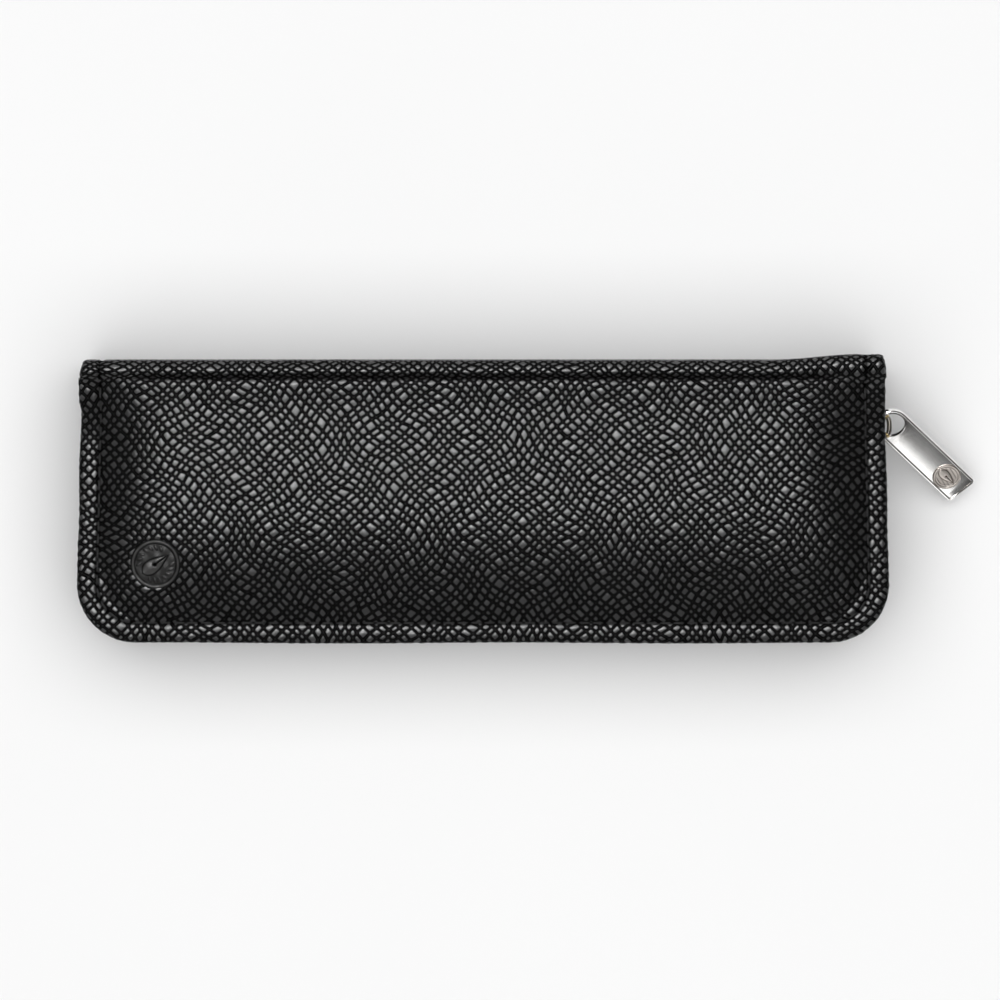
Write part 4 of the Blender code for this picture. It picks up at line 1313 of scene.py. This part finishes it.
def make_slider():
    low, high = node_box("slider_body")
    centre_y = (low[1] + high[1]) / 2
    length = high[1] - low[1]
    half_height = (high[2] - low[2]) / 2
    outer = slider_plate(WALL_X + 1.38, high[0] + 0.25, centre_y, length, half_height)
    inner = slider_plate(WALL_X - 1.38, low[0] - 0.1, centre_y, length, half_height)
    rib_y, rib_z = slider_outline(length * 0.72, half_height * 0.62)
    rib = []
    for out, scale in ((high[0] + 0.15, 1.0), (high[0] + 0.40, 0.94), (high[0] + 0.45, 0.75)):
        place = (np.full_like(rib_y, out), centre_y + rib_y * scale, MID_Z + rib_z * scale)
        rib.append(np.column_stack(place))
    angle = np.linspace(0.0, 2.0 * math.pi, 20, endpoint=False)
    post = []
    for x in (WALL_X - 1.6, WALL_X + 1.6):
        post.append(np.column_stack((
            np.full_like(angle, x),
            centre_y + (length / 2 - 1.2) + 0.55 * np.cos(angle) - 0.2,
            MID_Z + 0.20 * np.sin(angle),
        )))
    lips = []
    for sign in (-1.0, 1.0):
        near, far = sign * 0.62, sign * 1.95
        outlines = []
        for y in np.linspace(low[1] + 0.5, high[1] - 0.5, 12):
            z0 = low[2] + 0.35
            outlines.append(np.array([
                (WALL_X + near, y, z0),
                (WALL_X + near, y, z0 + 0.35),
                (WALL_X + far, y, z0 + 0.55),
                (WALL_X + far, y, z0),
            ]))
        lips.append(ring_stack(outlines))
    points, faces = gather([outer, inner, ring_stack(rib), ring_stack(post)] + lips)
    piece = make_piece(
        "slider_shell", points, faces, NICKEL_PAINTED_SHADE_LOOK, "slider", ("slider_body",)
    )
    set_outward(piece)
    piece.data.set_sharp_from_angle(angle=math.radians(45))


def crown_path(count=60):
    low, high = node_box("slider_crown")
    foot_x = low[0] + 0.05
    top_x = high[0] - 0.5
    half = (high[1] - low[1]) / 2 - 0.5
    centre_y = (high[1] + low[1]) / 2
    angle = np.linspace(0.0, math.pi, count)
    x = foot_x + (top_x - foot_x) * np.sin(angle) ** 0.62
    y = centre_y + half * np.sign(np.cos(angle)) * np.abs(np.cos(angle)) ** 0.62
    return np.column_stack((x, y, np.full(count, MID_Z)))


def make_crown():
    """Arched bar with collars near its feet."""
    path, _ = resample(crown_path(), 72)
    share = np.linspace(0.0, 1.0, len(path))
    radius = 0.47 + 0.05 * np.sin(np.pi * share) + 0.10 * (ease(0.10, 0.0, share) + ease(0.90, 1.0, share))
    points, faces = sweep(path, radius, sides=16, squeeze=1.35)
    piece = make_piece(
        "crown_bar", points, faces, NICKEL_PAINTED_SHADE_LOOK, "slider", ("slider_crown",)
    )
    set_outward(piece)
    # Painted reflection: four brass bands on the crown stand for the warm glints on its nickel.
    brass_glints = []
    for spot in (0.17, 0.31, 0.69, 0.83):
        index = int(spot * (len(path) - 1))
        short, _ = resample(path[index - 2 : index + 3], 9)
        swell = 0.52 + 0.12 * np.sin(np.linspace(0.0, math.pi, 9)) ** 0.5
        brass_glints.append(sweep(short, swell, sides=20, squeeze=1.35))
    points, faces = gather(brass_glints)
    piece = make_piece("crown_brass_glints", points, faces, BRASS_LOOK, "slider")
    set_outward(piece)


def on_puller(points):
    """Points given along, across and out of the plate, put in the shared frame."""
    points = np.asarray(points, float)
    axes = np.vstack((PULLER_ALONG, PULLER_ACROSS, PULLER_FACE))
    return PULLER_CENTRE + points @ axes


def puller_loop(inset, head=48, tip=8, side=24):
    """Closed outline of the plate at an inset: round head, straight sides, small tip corners."""
    half = PULLER_HALF - inset
    end = PULLER_LENGTH - inset
    corner = max(0.9 - inset, 0.25)
    angle = np.linspace(0.5 * math.pi, 1.5 * math.pi, head)
    loop = [np.column_stack((half * np.cos(angle), half * np.sin(angle)))]
    x = np.linspace(0.0, end - corner, side + 1)[1:]
    loop.append(np.column_stack((x, np.full_like(x, -half))))
    for sign, start in ((-1.0, -0.5 * math.pi), (1.0, 0.0)):
        turn = np.linspace(start, start + 0.5 * math.pi, tip)[(1 if sign < 0 else 0):]
        tip_x = end - corner + corner * np.cos(turn)
        tip_y = sign * (half - corner) + corner * np.sin(turn)
        loop.append(np.column_stack((tip_x, tip_y)))
    loop.append(np.column_stack((x[::-1][1:], np.full(len(x) - 1, half))))
    return np.vstack(loop)


def puller_row(inset, z):
    """The plate's outline at an inset and a height."""
    loop = puller_loop(inset)
    return np.column_stack((loop, np.full(len(loop), z)))


def make_puller():
    """Polished plate with a raised lip round both faces, a hole in its head and a round emblem."""
    half = PULLER_THICK / 2
    lip = [(0.60, half - 0.26), (0.54, half - 0.24), (0.46, half - 0.02), (0.38, half + 0.02)]
    lip += [(0.20, half + 0.02), (0.07, half - 0.06), (0.0, half - 0.22)]
    lip += [(inset, -z) for inset, z in lip[::-1]]
    rows = [puller_row(inset, z) for inset, z in lip]
    count = len(rows[0])
    points = np.vstack(rows)
    faces = grid_faces(len(rows), count, closed=True)
    face_z = half - 0.26
    angle = np.linspace(0.0, 2.0 * math.pi, 64, endpoint=False)
    rim = [(HOLE_R + 0.20, face_z), (HOLE_R + 0.16, face_z + 0.16)]
    rim += [(HOLE_R + 0.04, face_z + 0.20), (HOLE_R, face_z + 0.08)]
    rim += [(r, -z) for r, z in rim[::-1]]
    start = len(points)
    hole = []
    for r, z in rim:
        hole.append(np.column_stack((r * np.cos(angle), r * np.sin(angle), np.full_like(angle, z))))
    faces += grid_faces(len(hole), 64, start=start, closed=True)
    points = np.vstack([points] + hole)
    mesh_points = on_puller(points)
    piece = make_piece(
        "puller_plate", mesh_points, faces, STEEL_LOOK, "puller", ("puller",), flat=True
    )
    fill_plate_faces(piece, count, len(rows), start, len(hole))
    piece.data.shade_smooth()
    piece.data.set_sharp_from_angle(angle=math.radians(28))
    make_puller_emblem(face_z)


def fill_plate_faces(piece, count, rows, hole_start, hole_rows):
    """Closes both faces of the plate between the lip and the hole."""
    bm = bmesh.new()
    bm.from_mesh(piece.data)
    bm.verts.ensure_lookup_table()
    for lip_row, hole_row in ((0, 0), (rows - 1, hole_rows - 1)):
        lip = [bm.verts[lip_row * count + i] for i in range(count)]
        hole = [bm.verts[hole_start + hole_row * 64 + i] for i in range(64)]
        edges = []
        for loop in (lip, hole):
            for a, b in zip(loop, loop[1:] + loop[:1]):
                edges.append(bm.edges.get((a, b)) or bm.edges.new((a, b)))
        bmesh.ops.triangle_fill(bm, edges=edges, use_beauty=True, use_dissolve=False)
    bmesh.ops.recalc_face_normals(bm, faces=bm.faces)
    bm.to_mesh(piece.data)
    bm.free()


def make_puller_emblem(face_z):
    """Round medallion on the plate: a ring, a plain nib and an engraved line round it."""
    centre = np.array([17.4, 0.0])
    reach = 2.95
    radii = np.linspace(0.0, reach, 40)[1:]
    count = 128
    angle = np.linspace(0.0, 2.0 * math.pi, count, endpoint=False)
    r, t = np.meshgrid(radii, angle, indexing="ij")
    u, v = r * np.cos(t), r * np.sin(t)
    ring = np.exp(-(((r - reach + 0.34) / 0.17) ** 2))
    inner_ring = 0.5 * np.exp(-(((r - reach + 0.85) / 0.09) ** 2))
    nib, nib_lines = nib_relief(u * 1.45, v * 1.45)
    relief = 0.12 * np.maximum(ring, inner_ring) + 0.12 * nib
    ring_lines = np.exp(-(((r - reach + 0.14) / 0.07) ** 2))
    ring_lines = ring_lines + 0.7 * np.exp(-(((r - reach + 0.62) / 0.07) ** 2))
    hatch = 0.55 * ease(0.2, 0.9, np.sin(9.0 * v + 2.0 * u)) * ease(0.25, 0.0, np.clip(nib, 0.0, 1.0))
    hatch = hatch * ease(reach - 0.75, reach - 0.95, r)
    dark = np.clip(np.maximum(np.maximum(nib_lines, ring_lines), hatch), 0.0, 1.0)
    edge = ease(reach, reach - 0.12, r)
    z = face_z + 0.02 + (0.03 + relief) * edge
    points = np.column_stack(((centre[0] + u).ravel(), v.ravel(), z.ravel()))
    points = np.vstack((
        points,
        np.column_stack((centre[0] + u[-1], v[-1], np.full(count, face_z - 0.15))),
        [(centre[0], 0.0, face_z + 0.05), (centre[0], 0.0, face_z - 0.15)],
    ))
    rows = len(radii)
    faces = grid_faces(rows + 1, count, closed=True)
    top, bottom = len(points) - 2, len(points) - 1
    for i in range(count):
        j = (i + 1) % count
        faces.append((top, i, j))
        faces.append((bottom, rows * count + j, rows * count + i))
    places = np.zeros((len(points), 2))
    places[:rows * count, 0] = (1.0 - dark).ravel()
    places[-2, 0] = 1.0 - dark[0].mean()
    piece = make_piece(
        "puller_emblem", on_puller(points), faces, ENGRAVED_LOOK, "puller", (), places
    )
    set_outward(piece)


# Spine layers, loops and pocket ------------------------------------------------------------------


def make_box_cloth(name, node, look, body, puff, stitched=False):
    """Thin sheet in place of a flat CAD sheet: rounded, slightly uneven, on the node's place."""
    low, high = node_box(node)
    size_mm = high - low
    thin = int(np.argmin(size_mm))
    a, b = [axis for axis in range(3) if axis != thin]
    count_a = max(int(size_mm[a] / 0.9), 8)
    count_b = max(int(size_mm[b] / 0.9), 8)
    s, t = np.meshgrid(np.linspace(-1, 1, count_a), np.linspace(-1, 1, count_b), indexing="ij")
    centre = (low + high) / 2
    edge = np.minimum((1 - np.abs(s)) * size_mm[a], (1 - np.abs(t)) * size_mm[b]) / 2
    full = 0.5 * size_mm[thin] * (0.5 + 0.5 * ease(0.0, 0.7, edge))
    wave = puff * np.sin(0.35 * s * size_mm[a]) * np.sin(0.4 * t * size_mm[b] + 0.5) * ease(0.0, 3.0, edge)
    sheets = []
    for sign in (1.0, -1.0):
        points = np.zeros((count_a, count_b, 3))
        points[..., a] = centre[a] + s * size_mm[a] / 2
        points[..., b] = centre[b] + t * size_mm[b] / 2
        points[..., thin] = centre[thin] + sign * full + wave
        sheets.append(points.reshape(-1, 3))
    points = np.vstack(sheets)
    if body == "spine":
        cut = 1.5 * ease(54.0, 74.0, points[:, 0])
        points[:, 2] -= cut * ease(MID_Z, high[2], points[:, 2])
    shift = count_a * count_b
    faces = grid_faces(count_a, count_b) + grid_faces(count_a, count_b, start=shift, flip=True)
    index = np.arange(shift).reshape(count_a, count_b)
    border = list(index[0]) + list(index[1:, -1]) + list(index[-1, -2::-1]) + list(index[-2:0:-1, 0])
    for i, j in zip(border, border[1:] + border[:1]):
        faces.append((i, j, j + shift, i + shift))
    faces = [tuple(int(i) for i in face) for face in faces]
    piece = make_piece(name, points, faces, look, body, (node,), points[:, [a, b]])
    set_outward(piece)
    return piece


LOOP_SPAN = 14.2
LOOP_RISE = 12.2
LOOP_FOOT = 1.2
LOOP_THICK = 0.8


def make_loop(node):
    """Ribbed elastic loop that grips one pen: sewn feet, and an arch that draws in at its edges."""
    low, high = node_box(node)
    centre_y = (low[1] + high[1]) / 2
    base = low[2] + LOOP_THICK / 2
    half = LOOP_SPAN / 2
    straight = LOOP_RISE - half
    angle = np.linspace(math.pi, 0.0, 30)
    arch = np.column_stack((half * np.cos(angle), base + straight + half * np.sin(angle)))
    bend = 0.5
    path = np.vstack((
        [
            (-half - LOOP_FOOT, base),
            (-half - bend, base),
            (-half, base + bend),
            (-half, base + straight * 0.5),
        ],
        arch,
        [(half, base + straight * 0.5), (half, base + bend), (half + bend, base), (half + LOOP_FOOT, base)],
    ))
    path, run = resample(path, 64)
    forward = np.gradient(path, axis=0)
    forward /= np.linalg.norm(forward, axis=1)[:, None]
    out = np.column_stack((-forward[:, 1], forward[:, 0]))
    across = np.linspace(-1.0, 1.0, 37)
    rib = 0.05 * np.cos(across * 18.0 * math.pi)
    draw = 0.35 * across**2
    sheets, grains = [], []
    for sign in (1.0, -1.0):
        thick = 0.5 * LOOP_THICK * (1.0 - 0.35 * np.abs(across) ** 8) + rib * 0.5
        rise = ease(0.0, 0.3, np.linspace(0, 1, 64)) * ease(1.0, 0.7, np.linspace(0, 1, 64))
        offset = sign * thick[None, :] - draw[None, :] * rise[:, None]
        points = np.zeros((64, 37, 3))
        points[..., 0] = (low[0] + high[0]) / 2 + across[None, :] * (high[0] - low[0]) / 2
        points[..., 1] = centre_y + path[:, 0][:, None] + out[:, 0][:, None] * offset
        points[..., 2] = path[:, 1][:, None] + out[:, 1][:, None] * offset
        sheets.append(points.reshape(-1, 3))
        g = np.zeros((64, 37, 2))
        g[..., 0] = across[None, :] * 9.0
        g[..., 1] = np.linspace(0.0, run, 64)[:, None]
        grains.append(g.reshape(-1, 2))
    points = np.vstack(sheets)
    shift = 64 * 37
    faces = grid_faces(64, 37) + grid_faces(64, 37, start=shift, flip=True)
    index = np.arange(shift).reshape(64, 37)
    border = list(index[0]) + list(index[1:, -1]) + list(index[-1, -2::-1]) + list(index[-2:0:-1, 0])
    for i, j in zip(border, border[1:] + border[:1]):
        faces.append((i, j, j + shift, i + shift))
    faces = [tuple(int(i) for i in face) for face in faces]
    name = node.replace("pen_loop", "elastic_loop")
    piece = make_piece(name, points, faces, ELASTIC_LOOK, "root", (node,), np.vstack(grains))
    set_outward(piece)


def make_pocket():
    make_box_cloth("slip_pocket", "front_pocket", LINING_LOOK, "front", 0.08)
    low, high = node_box("front_pocket")
    inset = 1.3
    z = low[2] - 0.02
    corners = [
        (low[0] + inset, low[1] + inset, z), (low[0] + inset, high[1] - inset, z),
        (high[0] - inset, high[1] - inset, z), (high[0] - inset, low[1] + inset, z),
    ]
    points, faces = stitch_row(np.array(corners), length=2.0, radius=0.13, sink=-0.08)
    piece = make_piece("pocket_stitches", points, faces, THREAD_LOOK, "front", (), points[:, :2])
    set_outward(piece)


for half_name in ("front", "back"):
    make_topstitch(half_name)
    make_layers(half_name)
    make_tape(half_name)
    make_teeth(half_name)
    make_stop(half_name + "_top_stop")
make_stop("bottom_stop")
make_emblem()
make_slider()
make_crown()
make_puller()
make_box_cloth("spine_lining_cloth", "spine_lining", LINING_LOOK, "spine", 0.03)
make_box_cloth("spine_stiffener", "spine_board", BOARD_LOOK, "spine", 0.0)
make_pocket()
for level in ("upper", "lower"):
    for end in ("left", "right"):
        make_loop(level + "_pen_loop_" + end)
for node in ("front_board", "back_board"):
    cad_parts[node].data.materials.clear()
    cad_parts[node].data.materials.append(BOARD_LOOK)


# Studio ------------------------------------------------------------------------


FRAME_CENTRE = (3.46, 0.39)
FRAME_WIDTH = 203.7
CAMERA_HEIGHT = 2200.0
VIEW_PLANE_Z = 19.0
SENSOR = 36.0


def make_camera():
    data = bpy.data.cameras.new("camera")
    data.sensor_width = SENSOR
    data.lens = SENSOR * (CAMERA_HEIGHT - VIEW_PLANE_Z) / FRAME_WIDTH
    data.clip_start = 0.05
    data.clip_end = 20.0
    camera = bpy.data.objects.new("camera", data)
    bpy.context.scene.collection.objects.link(camera)
    camera.location = Vector((*FRAME_CENTRE, CAMERA_HEIGHT)) * MM
    bpy.context.scene.camera = camera


def make_light(name, place, aim, width, depth, watts, colour=(1.0, 1.0, 1.0)):
    data = bpy.data.lights.new(name, "AREA")
    data.shape = "RECTANGLE"
    data.size = width
    data.size_y = depth
    data.energy = watts
    data.color = colour
    light = bpy.data.objects.new(name, data)
    light.visible_camera = False
    light.location = place
    light.rotation_euler = (Vector(aim) - Vector(place)).to_track_quat("-Z", "Y").to_euler()
    bpy.context.scene.collection.objects.link(light)
    return light


def make_floor():
    material, tree, shader = new_material("studio_floor")
    paper = noise(tree, place_node(tree), 6.0, 2.0)
    tree.links.new(
        blend_colours(tree, paper, (0.87, 0.87, 0.87), (0.90, 0.90, 0.90)),
        shader.inputs["Base Color"],
    )
    shader.inputs["Roughness"].default_value = 0.9
    shader.inputs["Specular IOR Level"].default_value = 0.1
    reach = 3.0
    mesh = bpy.data.meshes.new("studio_floor")
    corners = [(-reach, -reach, 0), (reach, -reach, 0), (reach, reach, 0), (-reach, reach, 0)]
    mesh.from_pydata([(x, y, -0.0003) for x, y, _ in corners], [], [(0, 1, 2, 3)])
    mesh.materials.append(material)
    floor_piece = bpy.data.objects.new("studio_floor", mesh)
    bpy.context.scene.collection.objects.link(floor_piece)


def make_world():
    world = bpy.data.worlds.new("studio")
    world.use_nodes = True
    background = world.node_tree.nodes["Background"]
    background.inputs["Color"].default_value = (1.0, 1.0, 1.0, 1.0)
    tree = world.node_tree
    split = tree.nodes.new("ShaderNodeSeparateXYZ")
    tree.links.new(tree.nodes.new("ShaderNodeTexCoord").outputs["Generated"], split.inputs[0])
    parts = [Value(tree, split.outputs[i]) for i in range(3)]
    toward = 0.74 * parts[0] - 0.36 * parts[1] + 0.57 * parts[2]
    tree.links.new((0.16 - 0.145 * ease(0.72, 0.93, toward)).socket, background.inputs["Strength"])
    bpy.context.scene.world = world


make_camera()
make_world()
make_floor()
fill = make_light("fill", (0.0, 0.1, 2.4), (0.0, 0.0, 0.0), 5.0, 5.0, 130.0)
fill.visible_glossy = False
key = make_light("key", (-0.08, 0.20, 0.90), (0.0, 0.0, 0.0), 0.60, 0.44, 12.0)
key.visible_diffuse = False
spine_side = make_light("spine_side", (0.0, 1.1, 0.55), (0.0, 0.0, 0.0), 0.8, 0.25, 4.0)
spine_side.visible_diffuse = False
front_card = make_light("front_card", (0.3, -1.6, 0.20), (0.0, 0.0, 0.02), 2.4, 0.64, 7.5)
front_card.visible_diffuse = False
bpy.context.scene.view_settings.view_transform = "Standard"
